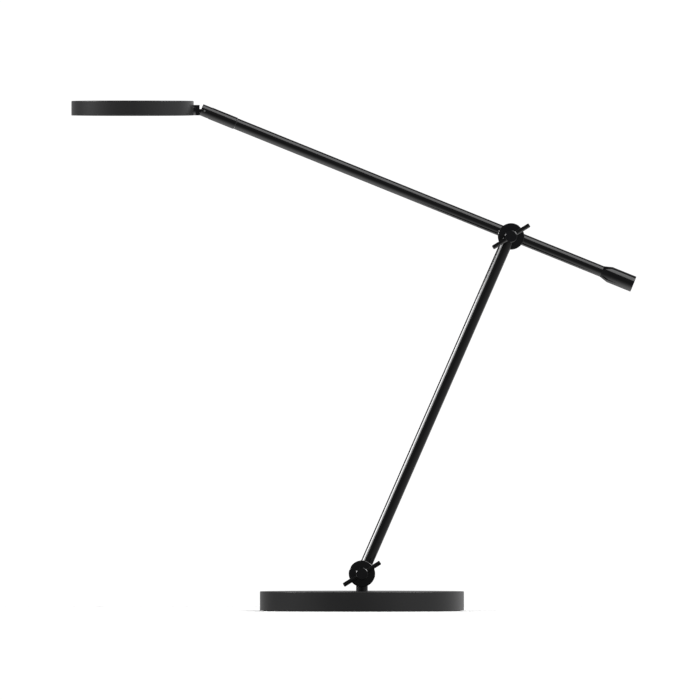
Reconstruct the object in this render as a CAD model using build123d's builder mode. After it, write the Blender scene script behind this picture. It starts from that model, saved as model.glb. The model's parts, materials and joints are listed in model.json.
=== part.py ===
from build123d import *
import os
from math import cos, radians, sin

os.makedirs("parts", exist_ok=True)

# Frame: millimetres, +X towards the counterweight, +Y away from the viewer, +Z up.
# The origin is the middle of the underside. The lamp stands with its arms at their rest angles.

# Clearances between pieces
TOUCH_GAP = 0.1      # faces that slide on each other
FREE_GAP = 0.3       # faces that pass each other freely
RUNNING_GAP = 0.05   # radial play of a shaft in its bore
SINK = 1.0           # how far a solid runs past the face that it joins or cuts through

# Base
BASE_R = 100.0
BASE_TOP = 19.2
COVER_WALL = 2.0
COVER_LIFT = 0.6     # the cover's rim hangs this far above the table
COVER_EDGE = 0.6
COVER_HOLE_EDGE = 0.3    # chamfer round the holes in the cover's top
PAD_R = 96.5
PAD_THICK = 1.2
PAD_EDGE = 0.3
PLATE_THICK = 1.4
PLATE_SCREWS = 4
PLATE_SCREW_START = 45.0   # angle of the first one from +X
PLATE_SCREW_RING = 86.0
PLATE_SCREW_R = 2.0
PLATE_SCREW_HEAD_R = 3.9
PLATE_SCREW_DEPTH = 9.0
BALLAST_R = BASE_R - COVER_WALL
BALLAST_BOTTOM = PAD_THICK + PLATE_THICK
BALLAST_TOP = BASE_TOP - COVER_WALL

# Swivel of the post in the base
SWIVEL_BODY_R = 9.0
SWIVEL_FLANGE_R = 12.0
SWIVEL_FLANGE_BOTTOM = 8.0
SWIVEL_FLANGE_THICK = 1.5
SWIVEL_CAVITY_R = 12.5
STOP_INNER_R = 8.3
STOP_OUTER_R = 11.4
STOP_WIDTH = 3.0
STOP_HEIGHT = 1.0
POST_R = 5.75
POST_JOURNAL_R = 4.5
POST_SHOULDER = 17.1
POST_FOOT = 5.1
POST_BORE_R = 2.5
POST_SOCKET_R = 4.0
POST_SOCKET_BOTTOM = 18.0
STOP_WASHER_THICK = 0.7
POST_NUT_FLATS = 14.0

# Rear cord inlet
INLET_Z = 9.9
INLET_BORE_R = 3.1
INLET_BODY_R = 5.0
INLET_FLANGE_R = 6.8
INLET_FLANGE_PROUD = 1.6
INLET_INNER_Y = 86.0
INLET_POCKET_R = 7.0
INLET_POCKET_Y = 76.0    # where the pocket round the inlet starts

# LED driver in the ballast
DRIVER_X, DRIVER_Y = 40.0, 38.0
DRIVER_LENGTH, DRIVER_WIDTH = 62.0, 32.0
DRIVER_POCKET_TOP = 14.0
DRIVER_BOARD_THICK = 1.6
DRIVER_POCKET_MARGIN = 2.0
# Box parts under the driver's board: middle from the board's middle, then length, width, drop
DRIVER_BOXES = {
    "mains terminal": ((-24.0, 9.0), (9.0, 12.0, 8.7)),
    "lamp terminal": ((-24.0, -9.0), (9.0, 12.0, 8.7)),
    "dimmer terminal": ((-8.0, -11.0), (6.0, 6.0, 8.7)),
    "transformer": ((5.0, 0.0), (18.0, 16.0, 9.0)),
    "choke": ((22.0, -8.0), (10.0, 10.0, 7.0)),
}
CAPACITOR_R = 4.0
CAPACITOR_LENGTH = 14.0
CAPACITOR_OFFSET = (16.0, 8.0)

# Dimmer button, flush in the top of the base
BUTTON_Y = -62.0
BUTTON_R = 8.0
BUTTON_FLANGE_R = 9.6
BUTTON_FLANGE_THICK = 1.2
BUTTON_TRAVEL = 0.5
DIMMER_POCKET_R = 11.0
DIMMER_POCKET_BOTTOM = 10.0
DIMMER_BOARD_R = 10.0
DIMMER_BOARD_THICK = 1.2
SWITCH_SIDE = 6.2
SWITCH_HEIGHT = 3.0
PLUNGER_R = 1.5
PLUNGER_LENGTH = 2.4

# Two-core leads, and the grooves for them in the ballast's underside
LEAD_R = 1.1
LEAD_BEND_R = 2.7
LEAD_END_GAP = 0.5   # between a lead's end and what it is soldered or clamped to
LEAD_Z = BALLAST_BOTTOM + LEAD_R + TOUCH_GAP
LEAD_GROOVE = 5.0
LEAD_GROOVE_TOP = 6.0
MAINS_GROOVE = 10.0
LAMP_LEAD_END = (14.0, 22.5)     # in front of the lamp terminal
DIMMER_LEAD_END = (31.0, 23.5)   # in front of the dimmer terminal
MAINS_GROOVE_END = (20.0, 50.0)

# Clamped joints, the same at both ends of the lower arm
CHEEK_R = 13.0
EDGE_CHAMFER = 0.5
STUD_R = 3.0
WASHER_THICK = 0.5
NUT_R = 6.0
NUT_THREAD = 3.5
NUT_WEB = 0.2        # solid between the end of the thread and the cross hole
NUT_FRONT_WALL = 1.0
BAR_R = 2.15
BAR_LENGTH = 42.4
BAR_ANGLE = 31.8     # above horizontal, rising to the right

# Lower joint
LOWER_PIVOT = Vector(0, 0, 36.5)
EYE_R = 9.0
EYE_HALF = 6.0       # half the eye's width, the same as the tube's radius
CHEEK_INNER = EYE_HALF + TOUCH_GAP + WASHER_THICK
CHEEK_THICK = 4.0
FORK_HALF = CHEEK_INNER + CHEEK_THICK
FORK_FLOOR_R = 9.9
FORK_OPEN_DROP = 2.0
FORK_BORE_R = 2.2

# Lower arm
LOWER_ANGLE = 66.4   # above horizontal
LOWER_REACH = 361.4  # pivot to pivot along the tube
LOWER_OFFSET = 1.6   # the upper pivot lies this far beside the tube's axis
LOWER_TUBE_R = 6.0
LOWER_TUBE_BORE_R = 5.0
LOWER_TUBE_TRIM = 4.4
FOOT_SPIGOT_END = 27.0
HEAD_SPIGOT_START = 336.0
SPIGOT_BORE_R = 2.2
EYE_CAVITY_R = 6.2   # hollow round the stud that the lead passes through
EYE_CAVITY_WIDTH = 3.2
EYE_WINDOW = 12.0        # width of the lead's window in the eye's foot
EYE_WINDOW_ANGLE = 267.5 # from +X round to the middle of the window

# Upper joint, listed from front to back
BOSS_R = 6.5
BOSS_FRONT = -6.3
LOWER_PLATE_FRONT = 1.5
LOWER_PLATE_BACK = 7.0
UPPER_PLATE_FRONT = LOWER_PLATE_BACK + WASHER_THICK + TOUCH_GAP
UPPER_PLATE_BACK = 13.2
UPPER_STUD_BACK = 11.9
FRICTION_RING_R = 11.0
BOSS_CAVITY_R = 4.6
BOSS_CAVITY_WIDTH = 3.2
STUD_BORE_R = 1.4    # lead hole along the hollow stud

# Upper arm: stations run along the tube from the pivot, plus towards the counterweight
UPPER_TILT = 22.0    # the tube falls to the right by this angle
UPPER_OFFSET = 1.57  # the tube's axis lies this far above the pivot
ARM_Y = 17.6
UPPER_TUBE_R = 5.6
UPPER_TUBE_BORE_R = 4.6
SLEEVE_FRONT = -328.3
SLEEVE_BACK = -291.6
TUBE_FRONT = -291.0
TUBE_BACK = 95.6
CONE_END = 103.8
WEIGHT_END = 128.9
WEIGHT_R = 8.0
WEIGHT_SPIGOT_START = 78.0
GRUB_STATION = 87.0
GRUB_R = 2.0
GRUB_LENGTH = 4.0

# Roll bearing of the sleeve
SLEEVE_R = 6.0
JOURNAL_R = 3.5
JOURNAL_END = -271.3
BUSH_FLANGE = 0.5
BUSH_END = -273.6
ROLL_WASHER_THICK = 0.4
CLIP_FRONT = BUSH_END + TOUCH_GAP + ROLL_WASHER_THICK
CLIP_WIDTH = 0.8
CLIP_INNER_R = 3.0
CLIP_OUTER_R = 4.3
CLIP_MOUTH = 3.0     # width of the clip's open side
SLEEVE_BORE_R = 1.8

# Hinge of the head
PIN_SETBACK = 3.7    # from the sleeve's front face to the pin
PIN_R = 1.2
PIN_LENGTH = 11.2
SLOT_WIDTH = 3.4
SLOT_DEPTH = 9.8
TILT_WASHER_R = 2.7
TILT_WASHER_THICK = 0.2
BLADE_THICK = SLOT_WIDTH - 2 * (TILT_WASHER_THICK + TOUCH_GAP)
BLADE_TOP, BLADE_BOTTOM = 5.9, -4.35   # above and below the pin
BLADE_NEAR = 4.95    # from the pin to where the blade narrows
NECK_HALF = 1.9
BLADE_EYE_R = 2.9
FLANGE_FACE = 8.9    # from the pin to the flange's outer face
STUD_RISE = 1.95     # the flange's stud above the pin
BLADE_STUD_R = 2.0
BLADE_BORE_R = 0.8   # lead hole along the stud
HEAD_LEAD_R = 0.7
BLADE_NUT_FLATS = 7.0
BLADE_NUT_THICK = 3.0

# Head
HEAD_REACH = 70.7    # from the pin to the middle of the head
HEAD_RISE = 9.85     # from the pin to the head's top
HEAD_R = 60.0
HEAD_HEIGHT = 14.3
HEAD_WALL = 1.5
HEAD_TOP_EDGE = 0.8
HEAD_RIM_EDGE = 0.4
SPREADER_R = 57.6
SPREADER_THICK = 1.2
LED_BOARD_R = 53.0
LED_BOARD_THICK = 1.2
CHIP_LENGTH, CHIP_WIDTH, CHIP_HEIGHT = 3.5, 2.8, 0.8
CHIP_RINGS = ((22.0, 8), (44.0, 16))   # ring radius, chips on it
BOARD_SCREWS = 3
BOARD_SCREW_RING = 33.0
BOARD_SCREW_R = 1.25
BOARD_SCREW_HEAD_R = 2.3
BOARD_SCREW_HEAD = 1.4
REFLECTOR_WALL = 0.7
REFLECTOR_FOOT_R = 54.9
DIFFUSER_R = 57.8
DIFFUSER_THICK = 1.9
RING_INNER_R = 55.4
RING_THICK = 0.9

# Directions and fixed points worked out from the sizes above
LOWER_DIR = Vector(cos(radians(LOWER_ANGLE)), 0, sin(radians(LOWER_ANGLE)))
LOWER_SIDE = Vector(sin(radians(LOWER_ANGLE)), 0, -cos(radians(LOWER_ANGLE)))
UPPER_DIR = Vector(cos(radians(UPPER_TILT)), 0, -sin(radians(UPPER_TILT)))
UPPER_UP = Vector(sin(radians(UPPER_TILT)), 0, cos(radians(UPPER_TILT)))
UPPER_PIVOT = LOWER_PIVOT + LOWER_DIR * LOWER_REACH + LOWER_SIDE * LOWER_OFFSET
UPPER_AXIS = UPPER_PIVOT + Vector(0, ARM_Y, 0) + UPPER_UP * UPPER_OFFSET
TILT_PIN = UPPER_AXIS + UPPER_DIR * (SLEEVE_FRONT + PIN_SETBACK)
HEAD_TOP = TILT_PIN.Z + HEAD_RISE
HEAD_BOTTOM = HEAD_TOP - HEAD_HEIGHT
HEAD_CENTRE = Vector(TILT_PIN.X - HEAD_REACH, ARM_Y, HEAD_BOTTOM)

# Sections square to the two tubes, for sketches that are extruded along them
LOWER_SECTION = Plane(origin=LOWER_PIVOT, x_dir=(0, 1, 0), z_dir=LOWER_DIR)
UPPER_SECTION = Plane(origin=UPPER_AXIS, x_dir=(0, 1, 0), z_dir=UPPER_DIR)
HEAD_PLANE = Plane(origin=HEAD_CENTRE)

FROM_BASE = (Align.CENTER, Align.CENTER, Align.MIN)


def keep(builder, name):
    """Name a finished piece and write it to its own file."""
    builder.part.label = name
    export_step(builder.part, f"parts/{name}.step")


def crosswise(centre, y):
    """Plane square to Y through a point's X and Z; what stands on it runs towards +Y."""
    return Plane(origin=(centre.X, y, centre.Z), x_dir=(1, 0, 0), z_dir=(0, 1, 0))


def rod(plane, radius, length, mode=Mode.ADD):
    """Round bar, or round hole, that stands on a plane."""
    with Locations(plane):
        Cylinder(radius, length, align=FROM_BASE, mode=mode)


def block(plane, size_x, size_y, size_z, mode=Mode.ADD):
    """Rectangular bar, or rectangular hole, that stands on a plane."""
    with Locations(plane):
        Box(size_x, size_y, size_z, align=FROM_BASE, mode=mode)


def pipe(plane, outer, inner, length):
    """Ring or tube that stands on a plane."""
    rod(plane, outer, length)
    rod(plane, inner, length, mode=Mode.SUBTRACT)


def make_straight_lead(name, section, start, end):
    """Lead along the middle of a tube, between two of its stations."""
    with BuildPart() as lead:
        rod(section.offset(start), LEAD_R, end - start)
    keep(lead, name)


def make_bent_lead(name, *route):
    """Lead along straight runs joined by bends."""
    with BuildPart() as lead:
        with BuildLine() as path:
            FilletPolyline(*route, radius=LEAD_BEND_R)
        with BuildSketch(Plane(origin=path.line @ 0, z_dir=path.line % 0)):
            Circle(LEAD_R)
        sweep()
    keep(lead, name)


# ---------------------------------------------------------------- base

def make_base_cover():
    """Shallow turned cup, open below, with holes for the swivel, the button and the cord."""
    with BuildPart() as base_cover:
        with BuildSketch(Plane.XY.offset(COVER_LIFT)):
            Circle(BASE_R)
        extrude(amount=BASE_TOP - COVER_LIFT)
        fillet(base_cover.faces().sort_by(Axis.Z)[-1].edges(), COVER_EDGE)
        rod(Plane.XY.offset(COVER_LIFT), BALLAST_R, BALLAST_TOP - COVER_LIFT, Mode.SUBTRACT)
        rod(Plane.XY, SWIVEL_BODY_R, BASE_TOP, Mode.SUBTRACT)
        rod(Plane((0, BUTTON_Y, 0)), BUTTON_R + FREE_GAP, BASE_TOP, Mode.SUBTRACT)
        rod(crosswise(Vector(0, 0, INLET_Z), 0), INLET_BODY_R, BASE_R, Mode.SUBTRACT)
        top = base_cover.faces().sort_by(Axis.Z)[-1]
        chamfer([edge for wire in top.inner_wires() for edge in wire.edges()], COVER_HOLE_EDGE)
    keep(base_cover, "base_cover")


def groove(start, end, width, top):
    """Groove in the ballast's underside, between two points in plan."""
    along = Vector(*end) - Vector(*start)
    middle = (Vector(*start) + Vector(*end)) / 2
    block(Plane((middle.X, middle.Y, BALLAST_BOTTOM), x_dir=along), along.length, width,
          top - BALLAST_BOTTOM, Mode.SUBTRACT)


def make_ballast_disc():
    """Heavy disc with a cavity for the swivel, pockets for the electronics and grooves for leads."""
    with BuildPart() as ballast_disc:
        with BuildSketch(Plane.XY.offset(BALLAST_BOTTOM)):
            Circle(BALLAST_R)
        extrude(amount=BALLAST_TOP - BALLAST_BOTTOM)
        rod(Plane.XY, SWIVEL_BODY_R, BASE_TOP, Mode.SUBTRACT)
        rod(Plane.XY, SWIVEL_CAVITY_R, SWIVEL_FLANGE_BOTTOM + SWIVEL_FLANGE_THICK, Mode.SUBTRACT)
        block(Plane((DRIVER_X, DRIVER_Y, BALLAST_BOTTOM)), DRIVER_LENGTH + 2 * DRIVER_POCKET_MARGIN,
              DRIVER_WIDTH + 2 * DRIVER_POCKET_MARGIN, DRIVER_POCKET_TOP - BALLAST_BOTTOM, Mode.SUBTRACT)
        rod(crosswise(Vector(0, 0, INLET_Z), INLET_POCKET_Y), INLET_POCKET_R, BASE_R, Mode.SUBTRACT)
        groove((0, INLET_POCKET_Y + INLET_POCKET_R), MAINS_GROOVE_END, MAINS_GROOVE, DRIVER_POCKET_TOP)
        groove((0, 0), LAMP_LEAD_END, LEAD_GROOVE, LEAD_GROOVE_TOP)
        groove((0, BUTTON_Y), DIMMER_LEAD_END, LEAD_GROOVE, LEAD_GROOVE_TOP)
        rod(Plane((0, BUTTON_Y, BALLAST_BOTTOM)), LEAD_GROOVE / 2, BASE_TOP, Mode.SUBTRACT)
        rod(Plane((0, BUTTON_Y, DIMMER_POCKET_BOTTOM)), DIMMER_POCKET_R, BASE_TOP, Mode.SUBTRACT)
        with Locations(Plane.XY.offset(BALLAST_BOTTOM)):
            with PolarLocations(PLATE_SCREW_RING, PLATE_SCREWS, PLATE_SCREW_START):
                Cylinder(PLATE_SCREW_R, PLATE_SCREW_DEPTH, align=FROM_BASE, mode=Mode.SUBTRACT)
    keep(ballast_disc, "ballast_disc")


def make_base_plate():
    """Steel sheet that closes the base, countersunk for its four screws."""
    with BuildPart() as base_plate:
        with BuildSketch(Plane.XY.offset(PAD_THICK)):
            Circle(BALLAST_R)
        extrude(amount=PLATE_THICK)
        with Locations(Plane.XY.offset(PAD_THICK)):
            with PolarLocations(PLATE_SCREW_RING, PLATE_SCREWS, PLATE_SCREW_START):
                Cone(PLATE_SCREW_HEAD_R, PLATE_SCREW_R, PLATE_THICK, align=FROM_BASE,
                     mode=Mode.SUBTRACT)
    keep(base_plate, "base_plate")


def make_base_pad():
    """Thin pad that the lamp stands on."""
    with BuildPart() as base_pad:
        with BuildSketch(Plane.XY):
            Circle(PAD_R)
        extrude(amount=PAD_THICK)
        chamfer(base_pad.faces().sort_by(Axis.Z)[-1].edges(), PAD_EDGE)
    keep(base_pad, "base_pad")


def make_base_screws():
    """Four countersunk screws from the plate into the ballast."""
    with BuildPart() as base_screws:
        with Locations(Plane.XY.offset(PAD_THICK)):
            with PolarLocations(PLATE_SCREW_RING, PLATE_SCREWS, PLATE_SCREW_START):
                Cone(PLATE_SCREW_HEAD_R, PLATE_SCREW_R, PLATE_THICK, align=FROM_BASE)
                Cylinder(PLATE_SCREW_R, PLATE_THICK + PLATE_SCREW_DEPTH, align=FROM_BASE)
    keep(base_screws, "base_screws")


def make_cord_gland():
    """Bushed cord inlet through the rear of the cover."""
    inlet = Vector(0, 0, INLET_Z)
    with BuildPart() as cord_gland:
        rod(crosswise(inlet, INLET_INNER_Y), INLET_FLANGE_R, BASE_R + INLET_FLANGE_PROUD - INLET_INNER_Y)
        chamfer(cord_gland.faces().sort_by(Axis.Y)[-1].edges(), EDGE_CHAMFER)
        rod(Plane.XY, BASE_R, BASE_TOP, Mode.SUBTRACT)
        rod(crosswise(inlet, INLET_INNER_Y), INLET_BODY_R, BASE_R - INLET_INNER_Y)
        rod(crosswise(inlet, 0), INLET_BORE_R, 2 * BASE_R, Mode.SUBTRACT)
    keep(cord_gland, "cord_gland")


def make_driver():
    """Power supply for the LEDs: a board, and its transformer, terminals and capacitor under it."""
    board_z = DRIVER_POCKET_TOP - DRIVER_BOARD_THICK
    with BuildPart() as driver_board:
        block(Plane((DRIVER_X, DRIVER_Y, board_z)), DRIVER_LENGTH, DRIVER_WIDTH, DRIVER_BOARD_THICK)
    keep(driver_board, "driver_board")

    with BuildPart() as driver_components:
        for (dx, dy), (length, width, drop) in DRIVER_BOXES.values():
            block(Plane((DRIVER_X + dx, DRIVER_Y + dy, board_z - drop)), length, width, drop)
        dx, dy = CAPACITOR_OFFSET
        capacitor = Plane((DRIVER_X + dx, DRIVER_Y + dy, board_z - CAPACITOR_R), z_dir=(1, 0, 0))
        rod(capacitor, CAPACITOR_R, CAPACITOR_LENGTH)
    keep(driver_components, "driver_components")


def make_dimmer():
    """Flush push button over a small switch on its own round board."""
    button_bottom = BALLAST_TOP - TOUCH_GAP - BUTTON_FLANGE_THICK
    with BuildPart() as dimmer_button:
        rod(Plane((0, BUTTON_Y, button_bottom)), BUTTON_R, BASE_TOP - button_bottom)
        fillet(dimmer_button.faces().sort_by(Axis.Z)[-1].edges(), COVER_EDGE)
        rod(Plane((0, BUTTON_Y, button_bottom)), BUTTON_FLANGE_R, BUTTON_FLANGE_THICK)
    keep(dimmer_button, "dimmer_button")

    with BuildPart() as switch_plunger:
        rod(Plane((0, BUTTON_Y, button_bottom - PLUNGER_LENGTH)), PLUNGER_R, PLUNGER_LENGTH)
    keep(switch_plunger, "switch_plunger")

    switch_bottom = DIMMER_POCKET_BOTTOM + DIMMER_BOARD_THICK
    with BuildPart() as dimmer_board:
        rod(Plane((0, BUTTON_Y, DIMMER_POCKET_BOTTOM)), DIMMER_BOARD_R, DIMMER_BOARD_THICK)
    keep(dimmer_board, "dimmer_board")

    with BuildPart() as tact_switch:
        block(Plane((0, BUTTON_Y, switch_bottom)), SWITCH_SIDE, SWITCH_SIDE, SWITCH_HEIGHT)
        rod(Plane((0, BUTTON_Y, button_bottom - PLUNGER_LENGTH - BUTTON_TRAVEL - FREE_GAP)),
            PLUNGER_R + FREE_GAP, BASE_TOP, Mode.SUBTRACT)
    keep(tact_switch, "tact_switch")


# ---------------------------------------------------------------- swivel post

def make_swivel_bush():
    """Flanged bush that the post turns in, with a lug below that stops the turn."""
    with BuildPart() as swivel_bush:
        rod(Plane.XY.offset(SWIVEL_FLANGE_BOTTOM), SWIVEL_BODY_R, BASE_TOP - SWIVEL_FLANGE_BOTTOM)
        rod(Plane.XY.offset(SWIVEL_FLANGE_BOTTOM), SWIVEL_FLANGE_R, SWIVEL_FLANGE_THICK)
        block(Plane((-(STOP_INNER_R + STOP_OUTER_R) / 2, 0, SWIVEL_FLANGE_BOTTOM - STOP_HEIGHT)),
              STOP_OUTER_R - STOP_INNER_R, STOP_WIDTH, STOP_HEIGHT)
        rod(Plane.XY, POST_JOURNAL_R + RUNNING_GAP, BASE_TOP, Mode.SUBTRACT)
        rod(Plane.XY.offset(POST_SHOULDER - TOUCH_GAP), POST_R + FREE_GAP, BASE_TOP, Mode.SUBTRACT)
    keep(swivel_bush, "swivel_bush")


def make_post_shaft():
    """Hollow post: a journal in the bush below its shoulder, a socket for the fork above."""
    with BuildPart() as post_shaft:
        rod(Plane.XY.offset(POST_FOOT), POST_JOURNAL_R, POST_SHOULDER - POST_FOOT)
        rod(Plane.XY.offset(POST_SHOULDER), POST_R, LOWER_PIVOT.Z - CHEEK_R / 2 - POST_SHOULDER)
        rod(Plane.XY, POST_BORE_R, LOWER_PIVOT.Z, Mode.SUBTRACT)
        rod(Plane.XY.offset(POST_SOCKET_BOTTOM), POST_SOCKET_R, LOWER_PIVOT.Z, Mode.SUBTRACT)
        rod(crosswise(LOWER_PIVOT, -FORK_HALF), CHEEK_R, 2 * FORK_HALF, Mode.SUBTRACT)
    keep(post_shaft, "post_shaft")


def make_stop_washer():
    """Washer keyed to the post, with a tab that meets the bush's lug at the ends of the turn."""
    bottom = SWIVEL_FLANGE_BOTTOM - TOUCH_GAP - STOP_WASHER_THICK
    with BuildPart() as stop_washer:
        rod(Plane.XY.offset(bottom), STOP_INNER_R - FREE_GAP, STOP_WASHER_THICK)
        block(Plane((STOP_OUTER_R / 2, 0, bottom)), STOP_OUTER_R, STOP_WIDTH, STOP_WASHER_THICK)
        rod(Plane.XY, POST_JOURNAL_R, BASE_TOP, Mode.SUBTRACT)
    keep(stop_washer, "stop_washer")


def make_post_nut():
    """Thin nut that holds the post down in its bush."""
    top = SWIVEL_FLANGE_BOTTOM - TOUCH_GAP - STOP_WASHER_THICK
    with BuildPart() as post_nut:
        with BuildSketch(Plane.XY.offset(POST_FOOT)):
            RegularPolygon(POST_NUT_FLATS / 2, 6, major_radius=False)
            Circle(POST_JOURNAL_R, mode=Mode.SUBTRACT)
        extrude(amount=top - POST_FOOT)
    keep(post_nut, "post_nut")


# ---------------------------------------------------------------- lower joint

def make_lower_fork():
    """Round fork on the post: two cheeks joined below the eye, and a spigot in the post."""
    with BuildPart() as lower_fork:
        with BuildSketch(crosswise(LOWER_PIVOT, -FORK_HALF)):
            Circle(CHEEK_R)
        extrude(amount=2 * FORK_HALF)
        chamfer(lower_fork.edges().filter_by(GeomType.CIRCLE), EDGE_CHAMFER)
        rod(crosswise(LOWER_PIVOT, -CHEEK_INNER), FORK_FLOOR_R, 2 * CHEEK_INNER, Mode.SUBTRACT)
        block(Plane(LOWER_PIVOT - Vector(0, 0, FORK_OPEN_DROP)), 3 * CHEEK_R, 2 * CHEEK_INNER,
              2 * CHEEK_R, Mode.SUBTRACT)
        rod(Plane.XY.offset(POST_SOCKET_BOTTOM), POST_SOCKET_R,
            LOWER_PIVOT.Z - FORK_FLOOR_R - POST_SOCKET_BOTTOM - SINK)
        rod(Plane.XY, FORK_BORE_R, LOWER_PIVOT.Z - FORK_FLOOR_R + SINK, Mode.SUBTRACT)
        rod(crosswise(LOWER_PIVOT, -FORK_HALF), STUD_R + RUNNING_GAP, FORK_HALF, Mode.SUBTRACT)
        rod(crosswise(LOWER_PIVOT, 0), STUD_R, FORK_HALF, Mode.SUBTRACT)
    keep(lower_fork, "lower_fork")


def make_lower_friction_washers():
    """One friction washer on the inner face of each cheek."""
    with BuildPart() as lower_friction_washers:
        for y in (-CHEEK_INNER, EYE_HALF + TOUCH_GAP):
            pipe(crosswise(LOWER_PIVOT, y), EYE_R - FREE_GAP, STUD_R + RUNNING_GAP, WASHER_THICK)
    keep(lower_friction_washers, "lower_friction_washers")


def make_lower_clamp_stud():
    """Stud fixed in the back cheek, threaded in front."""
    front = -FORK_HALF - TOUCH_GAP - NUT_THREAD
    with BuildPart() as lower_clamp_stud:
        rod(crosswise(LOWER_PIVOT, front), STUD_R, FORK_HALF - FREE_GAP - front)
        chamfer(lower_clamp_stud.edges().filter_by(GeomType.CIRCLE), EDGE_CHAMFER)
    keep(lower_clamp_stud, "lower_clamp_stud")


def make_clamp(prefix, pivot, bearing_face):
    """T-handle nut whose back face bears on a joint, and the bar pressed through its head."""
    nut_back = bearing_face - TOUCH_GAP
    thread_end = nut_back - NUT_THREAD
    bar_y = thread_end - NUT_WEB - BAR_R
    nut_front = bar_y - BAR_R - NUT_FRONT_WALL
    bar_axis = Plane((pivot.X, bar_y, pivot.Z), x_dir=(0, 1, 0),
                     z_dir=(cos(radians(BAR_ANGLE)), 0, sin(radians(BAR_ANGLE))))
    bar_start = bar_axis.offset(-BAR_LENGTH / 2)
    with BuildPart() as clamp_nut:
        rod(crosswise(pivot, nut_front), NUT_R, nut_back - nut_front)
        chamfer(clamp_nut.edges().filter_by(GeomType.CIRCLE), EDGE_CHAMFER)
        rod(crosswise(pivot, thread_end), STUD_R + RUNNING_GAP, NUT_THREAD, Mode.SUBTRACT)
        rod(bar_start, BAR_R, BAR_LENGTH, Mode.SUBTRACT)
    keep(clamp_nut, f"{prefix}_clamp_nut")

    with BuildPart() as clamp_bar:
        rod(bar_start, BAR_R, BAR_LENGTH)
        chamfer(clamp_bar.edges().filter_by(GeomType.CIRCLE), EDGE_CHAMFER)
    keep(clamp_bar, f"{prefix}_clamp_bar")


# ---------------------------------------------------------------- lower arm

def make_lower_arm_foot():
    """Eye between the fork's cheeks, hollow for the lead, with a spigot up into the tube."""
    window_angle = radians(EYE_WINDOW_ANGLE)
    window = Plane(LOWER_PIVOT, x_dir=(0, 1, 0), z_dir=(cos(window_angle), 0, sin(window_angle)))
    with BuildPart() as lower_arm_foot:
        rod(LOWER_SECTION, LOWER_TUBE_BORE_R, FOOT_SPIGOT_END)
        with BuildSketch(crosswise(LOWER_PIVOT, -EYE_HALF)):
            Circle(EYE_R)
        extrude(amount=2 * EYE_HALF)
        rod(LOWER_SECTION.offset(STUD_R), SPIGOT_BORE_R, FOOT_SPIGOT_END, Mode.SUBTRACT)
        rod(crosswise(LOWER_PIVOT, -EYE_CAVITY_WIDTH / 2), EYE_CAVITY_R, EYE_CAVITY_WIDTH, Mode.SUBTRACT)
        block(window, EYE_CAVITY_WIDTH, EYE_WINDOW, EYE_R, Mode.SUBTRACT)
        rod(crosswise(LOWER_PIVOT, -EYE_HALF), STUD_R + RUNNING_GAP, 2 * EYE_HALF, Mode.SUBTRACT)
    keep(lower_arm_foot, "lower_arm_foot")


def make_lower_arm_tube():
    """Tube coped to the eye at its foot and to the boss at its head."""
    with BuildPart() as lower_arm_tube:
        pipe(LOWER_SECTION, LOWER_TUBE_R, LOWER_TUBE_BORE_R, LOWER_REACH - LOWER_TUBE_TRIM)
        rod(crosswise(LOWER_PIVOT, -BASE_R), EYE_R, 2 * BASE_R, Mode.SUBTRACT)
        rod(crosswise(UPPER_PIVOT, -BASE_R), BOSS_R, 2 * BASE_R, Mode.SUBTRACT)
        block(LOWER_SECTION.offset(-EYE_R), 4 * EYE_R, 4 * EYE_R, EYE_R, Mode.SUBTRACT)
    keep(lower_arm_tube, "lower_arm_tube")


def make_lower_arm_head():
    """End fitting: a boss for the nut, a round plate behind the tube and a spigot in it."""
    tube_end = LOWER_REACH - LOWER_TUBE_TRIM
    with BuildPart() as lower_arm_head:
        with BuildSketch(crosswise(UPPER_PIVOT, LOWER_PLATE_FRONT)):
            Circle(CHEEK_R)
        extrude(amount=LOWER_PLATE_BACK - LOWER_PLATE_FRONT)
        chamfer(lower_arm_head.edges().filter_by(GeomType.CIRCLE), EDGE_CHAMFER)
        rod(LOWER_SECTION, LOWER_TUBE_R, tube_end, Mode.SUBTRACT)
        rod(LOWER_SECTION.offset(HEAD_SPIGOT_START), LOWER_TUBE_BORE_R, tube_end - HEAD_SPIGOT_START)
        rod(crosswise(UPPER_PIVOT, BOSS_FRONT), BOSS_R, LOWER_PLATE_BACK - BOSS_FRONT)
        rod(LOWER_SECTION.offset(HEAD_SPIGOT_START), SPIGOT_BORE_R,
            LOWER_REACH - HEAD_SPIGOT_START, Mode.SUBTRACT)
        rod(crosswise(UPPER_PIVOT, -BOSS_CAVITY_WIDTH / 2), BOSS_CAVITY_R, BOSS_CAVITY_WIDTH, Mode.SUBTRACT)
        rod(crosswise(UPPER_PIVOT, BOSS_FRONT), STUD_R + RUNNING_GAP, LOWER_PLATE_BACK - BOSS_FRONT,
            Mode.SUBTRACT)
    keep(lower_arm_head, "lower_arm_head")


# ---------------------------------------------------------------- upper arm

def make_upper_clamp_stud():
    """Hollow stud fixed in the upper plate: the lead enters at its side and leaves behind it."""
    hollow_length = UPPER_STUD_BACK + BOSS_CAVITY_WIDTH / 2
    with BuildPart() as upper_clamp_stud:
        rod(crosswise(UPPER_PIVOT, BOSS_FRONT - TOUCH_GAP - NUT_THREAD), STUD_R,
            UPPER_STUD_BACK - BOSS_FRONT + TOUCH_GAP + NUT_THREAD)
        chamfer(upper_clamp_stud.edges().filter_by(GeomType.CIRCLE), EDGE_CHAMFER)
        rod(crosswise(UPPER_PIVOT, -BOSS_CAVITY_WIDTH / 2), STUD_BORE_R, hollow_length, Mode.SUBTRACT)
        rod(Plane(origin=UPPER_PIVOT, z_dir=-LOWER_DIR), STUD_BORE_R, 2 * STUD_R, Mode.SUBTRACT)
    keep(upper_clamp_stud, "upper_clamp_stud")


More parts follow.
